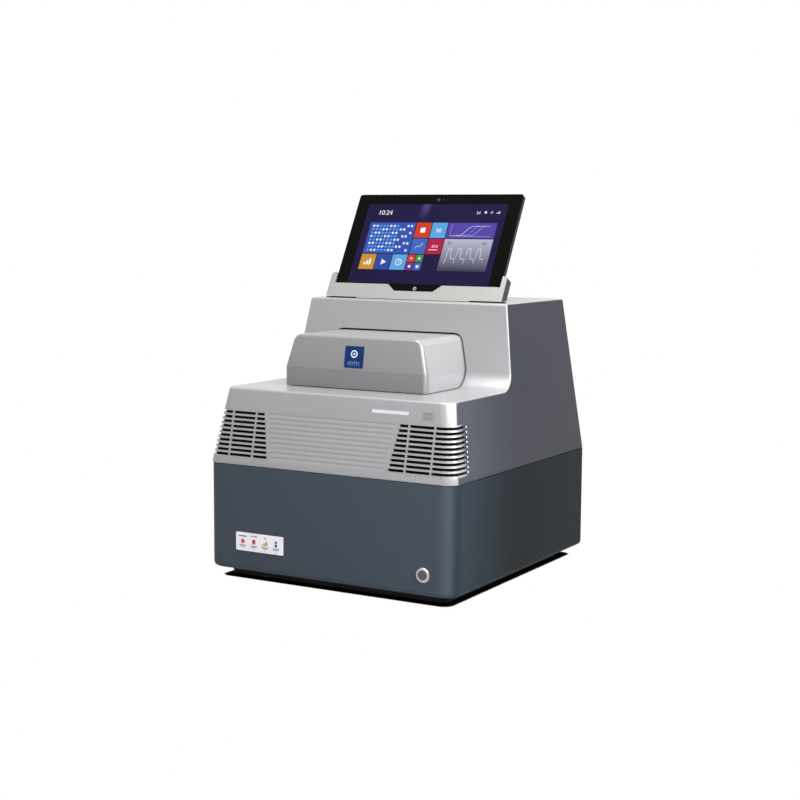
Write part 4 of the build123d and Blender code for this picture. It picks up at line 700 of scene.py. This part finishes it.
class Print:
    """Thin closed shapes laid on a plane, each in its own colour.

    Shapes are drawn in millimetres on the plane's X and Y and are one unit thick,
    and a higher layer stands further off the plane."""

    def __init__(self, plane):
        self.plane = plane @ Matrix.Diagonal((MM, MM, LAYER, 1))
        self.bm = bmesh.new()

    def lay(self, mesh, tone, layer):
        """Add a mesh to the print in one colour, as high as its layer."""
        paint = mesh.color_attributes.new("tint", "FLOAT_COLOR", "CORNER")
        for corner in paint.data:
            corner.color = (*tone, 1)
        mesh.transform(self.plane @ Matrix.Diagonal((1, 1, layer, 1)))
        self.bm.from_mesh(mesh)
        bpy.data.meshes.remove(mesh)

    def shape(self, bm, tone, layer):
        """Add a shape made of faces."""
        bmesh.ops.recalc_face_normals(bm, faces=bm.faces)
        self.lay(mesh_of(bm, "shape"), tone, layer)

    def slab(self, x, y, width, height, tone, layer=1, corner=0.0):
        """A rectangle from its top left corner, with its corners rounded."""
        bm = bmesh.new()
        middle = Matrix.Translation((x + width / 2, y - height / 2, 0.5))
        bmesh.ops.create_cube(bm, size=1, matrix=middle @ Matrix.Diagonal((width, height, 1, 1)))
        if corner:
            upright = [edge for edge in bm.edges if abs(edge.verts[0].co.z - edge.verts[1].co.z) > 0.5]
            bmesh.ops.bevel(bm, geom=upright, offset=corner, segments=4, profile=0.5, affect="EDGES",
                            material=-1)
        self.shape(bm, tone, layer)

    def disc(self, x, y, radius, tone, layer=1, sides=20, turn=0.0, stretch=1.0):
        """A disc, or with few sides a triangle or diamond."""
        bm = bmesh.new()
        place = Matrix.Translation((x, y, 0.5)) @ Matrix.Rotation(turn, 4, "Z")
        bmesh.ops.create_cone(bm, cap_ends=True, segments=sides, radius1=radius, radius2=radius, depth=1,
                              matrix=place @ Matrix.Diagonal((stretch, 1, 1, 1)))
        self.shape(bm, tone, layer)

    def ring(self, x, y, radius, width, tone, layer=1):
        """A flat ring with its outer radius and its width."""
        bm = bmesh.new()
        for reach in (radius, radius - width):
            bmesh.ops.create_circle(bm, segments=28, radius=reach, matrix=Matrix.Translation((x, y, 0)))
        faces = bmesh.ops.bridge_loops(bm, edges=bm.edges[:])["faces"]
        raised = bmesh.ops.extrude_face_region(bm, geom=faces, use_keep_orig=True)["geom"]
        corners = [item for item in raised if isinstance(item, bmesh.types.BMVert)]
        bmesh.ops.translate(bm, vec=(0, 0, 1), verts=corners)
        self.shape(bm, tone, layer)

    def line(self, points, width, tone, layer=1):
        """A flattened round line through points."""
        curve = bpy.data.curves.new("line", "CURVE")
        curve.dimensions = "3D"
        curve.bevel_depth = width / 2
        curve.bevel_resolution = 1
        curve.use_fill_caps = True
        spline = curve.splines.new("POLY")
        spline.points.add(len(points) - 1)
        for point, (x, y) in zip(spline.points, points):
            point.co = (x, y, 0, 1)
        mesh = curve_mesh(curve)
        mesh.transform(Matrix.Translation((0, 0, 0.5)) @ Matrix.Diagonal((1, 1, 1 / width, 1)))
        self.lay(mesh, tone, layer)

    def number(self, digits, x, y, height, tone, layer=1, align="LEFT"):
        """Digits on a base line."""
        curve = bpy.data.curves.new("digits", "FONT")
        curve.body = digits
        curve.size = height / 0.72
        curve.align_x = align
        curve.extrude = 0.5
        mesh = curve_mesh(curve)
        mesh.transform(Matrix.Translation((x, y, 0.5)))
        self.lay(mesh, tone, layer)

    def piece(self, name, material, body, slot):
        """The finished piece, riding on its body."""
        bmesh.ops.remove_doubles(self.bm, verts=self.bm.verts, dist=0.0001 * MM)
        return add_piece(name, mesh_of(self.bm, name), material, body)


def add_piece(name, mesh, material, body):
    """Show a finished mesh as a piece that moves with a body."""
    mesh.materials.append(material)
    piece = linked(name, mesh)
    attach(piece, body)
    return piece


def tablet_plane():
    """The tablet's front: X to the right, Y up the glass, Z outwards, from the middle of its top edge."""
    up = Vector(next(joint for joint in frame["joints"] if joint["name"] == "tablet_lift")["axis"])
    out = Vector((1, 0, 0)).cross(up)
    low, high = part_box("tablet_glass")
    edge = Vector(((low.x + high.x) / 2, high.y + GLASS_THICKNESS * out.y, high.z))
    return Matrix.Translation(edge) @ Matrix((Vector((1, 0, 0)), up, out)).transposed().to_4x4()


# Tablet's picture
PALETTE = {
    "sky": hue(88, 158, 214), "blue": hue(62, 98, 180), "royal": hue(52, 84, 172),
    "navy": hue(50, 74, 150), "purple": hue(84, 66, 156), "red": hue(198, 62, 42),
    "orange": hue(196, 140, 46), "crimson": hue(168, 36, 66), "green": hue(70, 138, 66),
    "magenta": hue(116, 54, 132), "mist": hue(172, 172, 192), "white": hue(232, 234, 242),
    "pale": hue(176, 190, 226), "ink": hue(66, 66, 84),
}
WHITE = PALETTE["white"]

# The page's grid in millimetres: a small tile, the gap beside it, and a large tile's width and height
UNIT, GUTTER = 25.2, 1.5
STEP = UNIT + GUTTER
WIDE = 3 * UNIT + 2 * GUTTER
TALL = 2 * UNIT + GUTTER
PAGE_MARGINS = 12, 31


def plate_map(page, x, y):
    """The wells of a plate, with some of them in use."""
    page.slab(x, y, WIDE, TALL, PALETTE["royal"], 2)
    for row in range(8):
        for column in range(12):
            tone = "white" if (column + 2 * row) % 5 < 2 else "sky" if column < 8 else "navy"
            page.disc(x + 7 + 5.95 * column, y - 5.9 - 5.8 * row, 1.9, PALETTE[tone], 3, 10)


def growth_curves(page, x, y):
    """Three curves that rise and level off."""
    page.slab(x, y, WIDE, UNIT, PALETTE["purple"], 2)
    foot = y - UNIT + 3
    page.line([(x + 6, y - 3), (x + 6, foot), (x + WIDE - 6, foot)], 0.5, PALETTE["pale"], 3)
    for middle, tone in ((24, "white"), (34, "sky"), (44, "pale")):
        points = [(x + 7 + along, foot + 1 + 16 / (1 + math.exp((middle - along) / 3)))
                  for along in range(0, 64, 2)]
        page.line(points, 0.7, PALETTE[tone], 3)


def heat_steps(page, x, y):
    """A pale tile with the steps of a heating cycle, repeated."""
    bands = 12
    for band in range(bands):
        low = band / (bands - 1)
        tone = tuple(a * (1 - low) + b * low for a, b in zip(PALETTE["mist"], PALETTE["ink"]))
        page.slab(x, y - band * TALL / bands, WIDE, TALL / bands, tone, 2)
    cycle = ((0, 40), (3, 15), (7, 15), (9, 32), (14, 32))
    steps = [(x + start + along, y - down) for start in (8, 24, 40, 56) for along, down in cycle]
    page.line(steps, 0.9, WHITE, 3)
    page.number("95", x + 6, y - 9, 5, PALETTE["ink"], 3)
    page.number("60", x + WIDE - 16, y - 9, 5, PALETTE["ink"], 3)


def small_tiles(page, x, y):
    """Seven tiles of one unit and four of half a unit, each with a plain sign."""
    def tile(column, row, tone):
        """One tile, and its middle."""
        left, top = x + column * STEP, y - row * STEP
        page.slab(left, top, UNIT, UNIT, PALETTE[tone], 2)
        return left + UNIT / 2, top - UNIT / 2

    cx, cy = tile(0, 2, "orange")
    for i, tall in enumerate((4, 7, 10)):
        page.slab(cx - 6 + 4.5 * i, cy - 5 + tall, 3, tall, WHITE, 3)
    cx, cy = tile(1, 2, "navy")
    page.disc(cx, cy, 5.5, WHITE, 3, 3, -math.pi / 2)
    cx, cy = tile(2, 2, "sky")
    page.ring(cx, cy, 5.5, 1.2, WHITE, 3)
    page.line([(cx, cy + 3.4), (cx, cy), (cx + 2.4, cy - 1.4)], 0.9, WHITE, 3)
    cx, cy = tile(3, 0, "red")
    page.slab(cx - 4, cy + 4, 8, 8, WHITE, 3, 1.0)
    cx, cy = tile(4, 0, "sky")
    page.number("96", cx, cy - 3.6, 7, WHITE, 3, "CENTER")
    cx, cy = tile(3, 1, "blue")
    page.line([(cx - 6, cy - 4), (cx - 2, cy + 1), (cx + 1, cy - 1), (cx + 6, cy + 5)], 0.9, WHITE, 3)
    cx, cy = tile(4, 1, "crimson")
    page.number("37.0", cx, cy - 2, 4.4, WHITE, 3, "CENTER")
    page.slab(cx + 4 - UNIT / 2, cy - 5, 14, 1, WHITE, 3)
    half = (UNIT - GUTTER) / 2
    for i, (tone, sides) in enumerate((("red", 3), ("green", 4), ("magenta", 6), ("blue", 20))):
        left = x + 3 * STEP + (half + GUTTER) * (i % 2)
        top = y - 2 * STEP - (half + GUTTER) * (i // 2)
        page.slab(left, top, half, half, PALETTE[tone], 2)
        page.disc(left + half / 2, top - half / 2, 2.4, WHITE, 3, sides)


class CYCLER_OT_picture(bpy.types.Operator):
    """Draw the page on the tablet's screen"""

    bl_idname = "cycler.picture"
    bl_label = "Draw the screen page"

    def execute(self, context):
        screen = context.scene.cycler_screen
        plane = tablet_plane()
        left, top = -screen.width / MM / 2, -screen.top / MM
        ground = Print(plane)
        ground.slab(left, top, screen.width / MM, screen.height / MM, tuple(screen.ground), 1)
        ground.piece("screen_ground", page_ground(plane), "tablet", "glass_black")

        page = Print(plane)
        x, y = left + PAGE_MARGINS[0], top - PAGE_MARGINS[1]
        plate_map(page, x, y)
        small_tiles(page, x, y)
        growth_curves(page, x + 5 * STEP, y)
        heat_steps(page, x + 5 * STEP, y - STEP)
        page.number("10:24", left + 20, top - 18, 8, WHITE, 2)
        page.number("24", left + 186, top - 16.5, 4.6, WHITE, 2)
        page.disc(left + 201, top - 13.6, 1.9, WHITE, 2)
        page.ring(left + 211, top - 13.6, 1.9, 0.5, WHITE, 2)
        for i in range(3):
            tall = 1.3 * (i + 1)
            page.slab(left + 218.5 + 2 * i, top - 15.5 + tall, 1.2, tall, WHITE, 2)
        page.piece("screen_page", page_light(), "tablet", "glass_black")
        return {"FINISHED"}


# Marks
def front_plane(point, lean=0.0):
    """A plane that faces the front and leans back: X to the right, Y up, Z outwards."""
    return Matrix.Translation(point) @ Matrix.Rotation(math.pi / 2 - lean, 4, "X")


class CYCLER_OT_label_marks(bpy.types.Operator):
    """Print the status label and set its four coloured marks"""

    bl_idname = "cycler.label_marks"
    bl_label = "Print the status label"

    def execute(self, context):
        low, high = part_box("status_label")
        middle = (low + high) / 2
        plane = front_plane((middle.x, low.y, middle.z))
        lamps_low, lamps_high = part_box("status_lamps")
        # Four round lamps in a row: the box is three pitches and one diameter wide
        pitch = (lamps_high.x - lamps_low.x - (lamps_high.z - lamps_low.z)) / 3 / MM
        first = -1.5 * pitch
        ink = Print(plane)
        grey, navy, cyan, red = hue(128, 130, 146), hue(74, 84, 136), hue(60, 176, 186), hue(206, 60, 78)
        for i in range(4):
            x = first + i * pitch
            ink.number(str(i + 1), x, -11.2, 3.0, grey, 1, "CENTER")
            for line, wide in enumerate((12.0, 9.0)):
                ink.slab(x - wide / 2, -4.6 - 1.7 * line, wide, 1.0, grey, 1, 0.3)
        ink.slab(first - 6.5, 8.6, 13, 1.6, navy, 1, 0.4)
        ink.slab(first + pitch - 5.5, 9.2, 5, 1.6, cyan, 1, 0.4)
        ink.slab(first + pitch + 0.5, 9.2, 5, 1.6, red, 1, 0.4)
        ink.ring(first + 2 * pitch, 7.6, 1.7, 0.7, grey, 1)
        ink.piece("label_print", inked("label_ink"), "base", "white_plastic")

        marks = Print(plane)
        proud = (low.y - lamps_low.y) / LAYER
        scarlet, rose, amber, slate = hue(214, 44, 48), hue(212, 48, 78), hue(206, 158, 44), hue(66, 72, 102)
        marks.disc(first, 0.6, 3.2, rose, proud, 8, math.pi / 8)
        marks.disc(first + pitch, 0.2, 2.9, scarlet, proud)
        marks.disc(first + pitch, 2.6, 2.9, scarlet, proud, 3, math.pi / 6, 1.2)
        for i, tall in enumerate((2.4, 4.4, 6.4)):
            marks.slab(first + 2 * pitch - 4.4 + 3.1 * i, tall - 2.8, 2.5, tall, amber, proud, 0.4)
        marks.disc(first + 3 * pitch, 4.0, 2.6, slate, proud, 4, 0.0, 0.8)
        marks.disc(first + 3 * pitch, -0.4, 3.2, slate, proud, 4, 0.0, 0.8)
        piece = marks.piece("label_marks", status_marks(), "base", "red_lamp")
        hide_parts("status_lamps")
        return {"FINISHED"}


class CYCLER_OT_badge(bpy.types.Operator):
    """Draw the badge's ring and bars"""

    bl_idname = "cycler.badge"
    bl_label = "Draw the badge"

    def execute(self, context):
        low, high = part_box("hood_badge")
        lean = math.atan2(high.y - low.y - BADGE_THICKNESS, high.z - low.z)
        out = Vector((0, -math.cos(lean), math.sin(lean)))
        middle = (low + high) / 2 + out * (BADGE_THICKNESS / 2)
        enamel = Print(front_plane(middle, lean))
        pale, blue = hue(206, 216, 236), hue(92, 122, 178)
        enamel.ring(0, 4.2, 5.4, 1.9, pale, 1)
        enamel.disc(0, 4.2, 1.5, pale, 1)
        for i, tall in enumerate((2.6, 4.0, 3.2, 4.6, 3.6, 2.6)):
            enamel.slab(3.4 * i - 9.7, tall - 9.6, 2.0, tall, blue, 1, 0.3)
        enamel.slab(-10.5, -10.6, 21, 0.6, blue, 1)
        enamel.piece("badge_print", inked("badge_ink", 0.3), "hood", "blue_badge")
        return {"FINISHED"}


class CYCLER_OT_front_marks(bpy.types.Operator):
    """Engrave the small frame beside the light bar"""

    bl_idname = "cycler.front_marks"
    bl_label = "Engrave the front"

    def execute(self, context):
        low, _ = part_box("light_bar")
        slope = math.atan2(low.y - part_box("upper_cover")[0].y, low.z - SEAM_HEIGHT)
        face = front_plane((FRAME_X, low.y, low.z), slope)
        engraving = Print(face @ Matrix.Translation((0, 0, FRAME_RISE)))
        grey = hue(118, 118, 124)
        # The frame's four sides and the line across it
        for x, y, width, height in ((-8, 5.5, 16, 0.5), (-8, -4.5, 16, 0.5), (-8, 5.5, 0.5, 10.5),
                                    (7.5, 5.5, 0.5, 10.5), (-8, 1.0, 16, 0.4)):
            engraving.slab(x, y, width, height, grey, 1)
        for i in range(4):
            engraving.slab(-5.6 + 3 * i, 4.2, 1.8, 1.8, grey, 1, 0.3)
            engraving.slab(-5.6 + 3 * i, -0.6, 1.8, 2.4, grey, 1, 0.3)
        engraving.piece("front_engraving", inked("engraving_ink"), "base", "silver_paint")
        return {"FINISHED"}


class CYCLER_OT_side_marks(bpy.types.Operator):
    """Set bright studs at the louvres' ends as painted highlights, and dark pads under the dock's ends as painted
    shade
    """

    bl_idname = "cycler.side_marks"
    bl_label = "Set studs and pads"

    def execute(self, context):
        low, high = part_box("louvre_grilles")
        # The slots and the ribs between them fill the height between the borders
        pitch = (high.z - low.z - 2 * LOUVRE_BORDER) / (LOUVRE_SLOTS - LOUVRE_RIB)
        lean = math.atan2(SIDE_SETBACK, ROOF_HEIGHT - SEAM_HEIGHT)
        studs = bmesh.new()
        for side in (-1, 1):
            turn = Matrix.Rotation(side * (math.pi / 2 - lean), 4, "Y") @ Matrix.Diagonal((1, 1, 0.4, 1))
            for row in range(LOUVRE_SLOTS):
                z = high.z - LOUVRE_BORDER - pitch * (row + (1 - LOUVRE_RIB) / 2)
                x = HALF_WIDTH - math.tan(lean) * (z - SEAM_HEIGHT) + 0.1 * MM
                y = high.y - LOUVRE_BORDER / 2 - LOUVRE_SLANT * row / (LOUVRE_SLOTS - 1)
                bmesh.ops.create_uvsphere(studs, u_segments=16, v_segments=8, radius=STUD_RADIUS,
                                          matrix=Matrix.Translation((side * x, y, z)) @ turn)
        # Painted highlights: bright studs where the louvres' ends catch the light
        enamel = printed("stud_highlight", hue(222, 222, 228), 0.3)
        add_piece("louvre_studs", mesh_of(studs, "louvre_studs"), enamel, "base")

        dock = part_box("dock_tray")
        # Painted shade: dark sheets in the gap under the dock's ends
        pads = Print(Matrix.Translation((0, 0, ROOF_HEIGHT)))
        end, back = dock[1].x / MM, dock[0].y / MM + PAD_SETBACK
        for left in (-end, PAD_START):
            pads.slab(left, back, end - PAD_START, PAD_DEPTH, hue(8, 8, 9), PAD_LAYERS, 1.0)
        pads.piece("dock_shade_pads", inked("pad_shade", 0.8), "base", "black_plastic")
        return {"FINISHED"}


class CYCLER_OT_button(bpy.types.Operator):
    """Turn the power button's dished cap"""

    bl_idname = "cycler.button"
    bl_label = "Turn the power button"

    def execute(self, context):
        low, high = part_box("power_button")
        middle = (low + high) / 2
        radius, deep = (high.x - low.x) / 2, high.y - low.y
        dish, groove = 0.9 * MM, 0.35 * MM
        # Shares of the radius, and how far behind the face
        profile = [(0, dish), (0.25, dish * 0.95), (0.45, dish * 0.7), (0.60, dish * 0.25), (0.66, 0.0),
                   (0.72, 0.0), (0.74, groove), (0.79, groove), (0.81, 0.0), (0.93, 0.0),
                   (0.985, 0.06 * MM), (1, groove), (1, deep), (0, deep)]
        bm = bmesh.new()
        points = [bm.verts.new((reach * radius, low.y + depth, 0)) for reach, depth in profile]
        for first, second in zip(points, points[1:]):
            bm.edges.new((first, second))
        bmesh.ops.spin(bm, geom=bm.verts[:] + bm.edges[:], axis=(0, 1, 0), cent=(0, 0, 0), angle=math.tau,
                       steps=64, use_merge=True)
        bmesh.ops.remove_doubles(bm, verts=bm.verts, dist=0.001 * MM)
        bmesh.ops.recalc_face_normals(bm, faces=bm.faces)
        bmesh.ops.translate(bm, vec=(middle.x, 0, middle.z), verts=bm.verts)
        mesh = mesh_of(bm, "button_cap")
        piece = add_piece("button_cap", mesh, turned_steel(middle), "power_button")
        soften(piece)
        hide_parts("power_button")
        return {"FINISHED"}


class CYCLER_OT_tablet_marks(bpy.types.Operator):
    """Add the tablet's home mark, camera ring and light sensor"""

    bl_idname = "cycler.tablet_marks"
    bl_label = "Mark the tablet"

    def execute(self, context):
        front = Print(tablet_plane())
        white, dark = hue(206, 208, 210), hue(34, 36, 40)
        front.ring(0, -156, 2.6, 0.7, white, 1)
        front.ring(0, -9, 2.9, 0.5, dark, 2)
        front.disc(9, -9, 0.8, hue(44, 60, 44), 1, 12)
        front.piece("tablet_front_marks", inked("bezel_ink", 0.3), "tablet", "glass_black")
        return {"FINISHED"}


# Stage
def area_lamp(name, place, aim, width, height, power):
    """A lamp of one size that faces a point."""
    lamp = bpy.data.lights.new(name, "AREA")
    lamp.shape = "RECTANGLE"
    lamp.size, lamp.size_y = width, height
    lamp.energy = power
    holder = linked(name, lamp)
    holder.location = place
    holder.rotation_euler = (aim - place).to_track_quat("-Z", "Y").to_euler()


def any_of(finish, *rays):
    """1 for a ray of one of the kinds."""
    path = finish.node("ShaderNodeLightPath").socket.node
    kinds = [Value(finish, path.outputs[kind]) for kind in rays]
    total = kinds[0]
    for kind in kinds[1:]:
        total = total.most(kind)
    return total


def floor_material():
    """White floor with a shadow painted near black under the housing."""
    finish = Finish("studio_floor", roughness=0.9, specular_ior_level=0.0)
    x, y, _ = finish.axes()
    _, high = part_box("lower_housing")
    past_x = (abs(x) - (high.x - SHADOW_INSET - SHADOW_CORNER)).most(0.0)
    past_y = (abs(y) - (high.y - SHADOW_INSET - SHADOW_CORNER)).most(0.0)
    gap = (past_x * past_x + past_y * past_y).root() - SHADOW_CORNER
    open_floor = gap.above(0.0, 2 * MM)
    # Painted shadow: near black inside the housing's footprint
    finish.set("Base Color", finish.mix(open_floor, (0.004, 0.004, 0.004), (0.5, 0.5, 0.5)))
    seen = any_of(finish, "Is Camera Ray", "Is Glossy Ray", "Is Transmission Ray")
    glow = finish.node("ShaderNodeEmission", inputs={"Color": (1, 1, 1), "Strength": 1.0})
    lit = Value(finish, finish.principled.outputs[0])
    mixed = finish.node("ShaderNodeMixShader", inputs=[gap.above(1.5 * MM, 3 * MM) * seen, lit, glow])
    output = next(node for node in finish.tree.nodes if node.bl_idname == "ShaderNodeOutputMaterial")
    finish.tree.links.new(mixed.socket, output.inputs[0])
    return finish.material


class Surroundings(Finish):
    """The world's nodes, written as a finish is."""

    def __init__(self, world):
        world.use_nodes = True
        self.tree = world.node_tree
        self.background = self.tree.nodes["Background"]


def studio_world(back, front):
    """White to look at, with more light from behind the object than from before it."""
    world = bpy.data.worlds.new("studio")
    bpy.context.scene.world = world
    room = Surroundings(world)
    facing = room.node("ShaderNodeSeparateXYZ", inputs=[room.node("ShaderNodeTexCoord")])
    behind = Value(room, facing.socket.node.outputs[1]).above(0.0, 1.2)
    level = behind * (back - front) + front
    seen = any_of(room, "Is Camera Ray", "Is Glossy Ray", "Is Transmission Ray")
    strength = seen + (1 - seen) * level
    room.background.inputs["Color"].default_value = (1, 1, 1, 1)
    room.tree.links.new(strength.socket, room.background.inputs["Strength"])


LAMP_AIM = Vector((0, 0, 0.25))
# Lamps: name, degrees round from the front and up, distance, width and height in metres, watts
STUDIO_LAMPS = (
    ("front", 0, 60, 2.0, 1.2, 1.0, 15.0),
    ("corner", 50, 35, 1.8, 0.8, 1.0, 19.0),
    ("side", 80, 25, 1.1, 0.5, 0.7, 13.0),
    ("top", 0, 88, 1.8, 1.2, 1.2, 24.0),
)


class CYCLER_OT_stage(bpy.types.Operator):
    """Set up the floor, lamps and camera"""

    bl_idname = "cycler.stage"
    bl_label = "Build the studio"

    def execute(self, context):
        studio = context.scene.cycler_studio
        camera = linked("camera", bpy.data.cameras.new("camera"))
        facing = Matrix.Rotation(studio.yaw, 4, "Z") @ Matrix.Rotation(math.pi / 2 - studio.pitch, 4, "X")
        eye = Vector((studio.camera_x, studio.camera_y, studio.camera_z))
        camera.matrix_world = Matrix.Translation(eye) @ facing @ Matrix.Rotation(studio.roll, 4, "Z")
        camera.data.lens = studio.lens
        camera.data.clip_end = 100
        context.scene.camera = camera
        context.scene.view_settings.view_transform = "Standard"

        bm = bmesh.new()
        bmesh.ops.create_grid(bm, x_segments=1, y_segments=1, size=FLOOR_REACH)
        floor = linked("floor", mesh_of(bm, "floor"))
        floor.data.materials.append(floor_material())
        studio_world(studio.back, studio.front)
        for name, azimuth, elevation, distance, width, height, power in STUDIO_LAMPS:
            turn, lift = math.radians(azimuth), math.radians(elevation)
            flat = distance * math.cos(lift)
            place = Vector((flat * math.sin(turn), -flat * math.cos(turn), distance * math.sin(lift)))
            area_lamp(name, place + LAMP_AIM, LAMP_AIM, width, height, power)
        return {"FINISHED"}


class CYCLER_PT_panel(bpy.types.Panel):
    """Sizes, colours and steps"""

    bl_label = "Thermal Cycler"
    bl_idname = "CYCLER_PT_panel"
    bl_space_type = "VIEW_3D"
    bl_region_type = "UI"
    bl_category = "Cycler"

    def draw(self, context):
        for group in (context.scene.cycler_paints, context.scene.cycler_screen, context.scene.cycler_studio):
            box = self.layout.box()
            for name in group.bl_rna.properties.keys():
                if name not in ("rna_type", "name"):
                    box.prop(group, name)
        for step in STEPS:
            self.layout.operator(step.bl_idname)


GROUPS = {"cycler_paints": CyclerPaints, "cycler_screen": CyclerScreen, "cycler_studio": CyclerStudio}
STEPS = (CYCLER_OT_finishes, CYCLER_OT_picture, CYCLER_OT_tablet_marks, CYCLER_OT_label_marks,
         CYCLER_OT_badge, CYCLER_OT_front_marks, CYCLER_OT_side_marks, CYCLER_OT_button, CYCLER_OT_stage)


def register():
    for kind in (*GROUPS.values(), *STEPS, CYCLER_PT_panel):
        bpy.utils.register_class(kind)
    for name, kind in GROUPS.items():
        setattr(bpy.types.Scene, name, PointerProperty(type=kind))


def unregister():
    for name in GROUPS:
        delattr(bpy.types.Scene, name)
    for kind in reversed((*GROUPS.values(), *STEPS, CYCLER_PT_panel)):
        bpy.utils.unregister_class(kind)


def main():
    register()
    for step in STEPS:
        group, name = step.bl_idname.split(".")
        getattr(getattr(bpy.ops, group), name)()


if __name__ == "__main__":
    main()
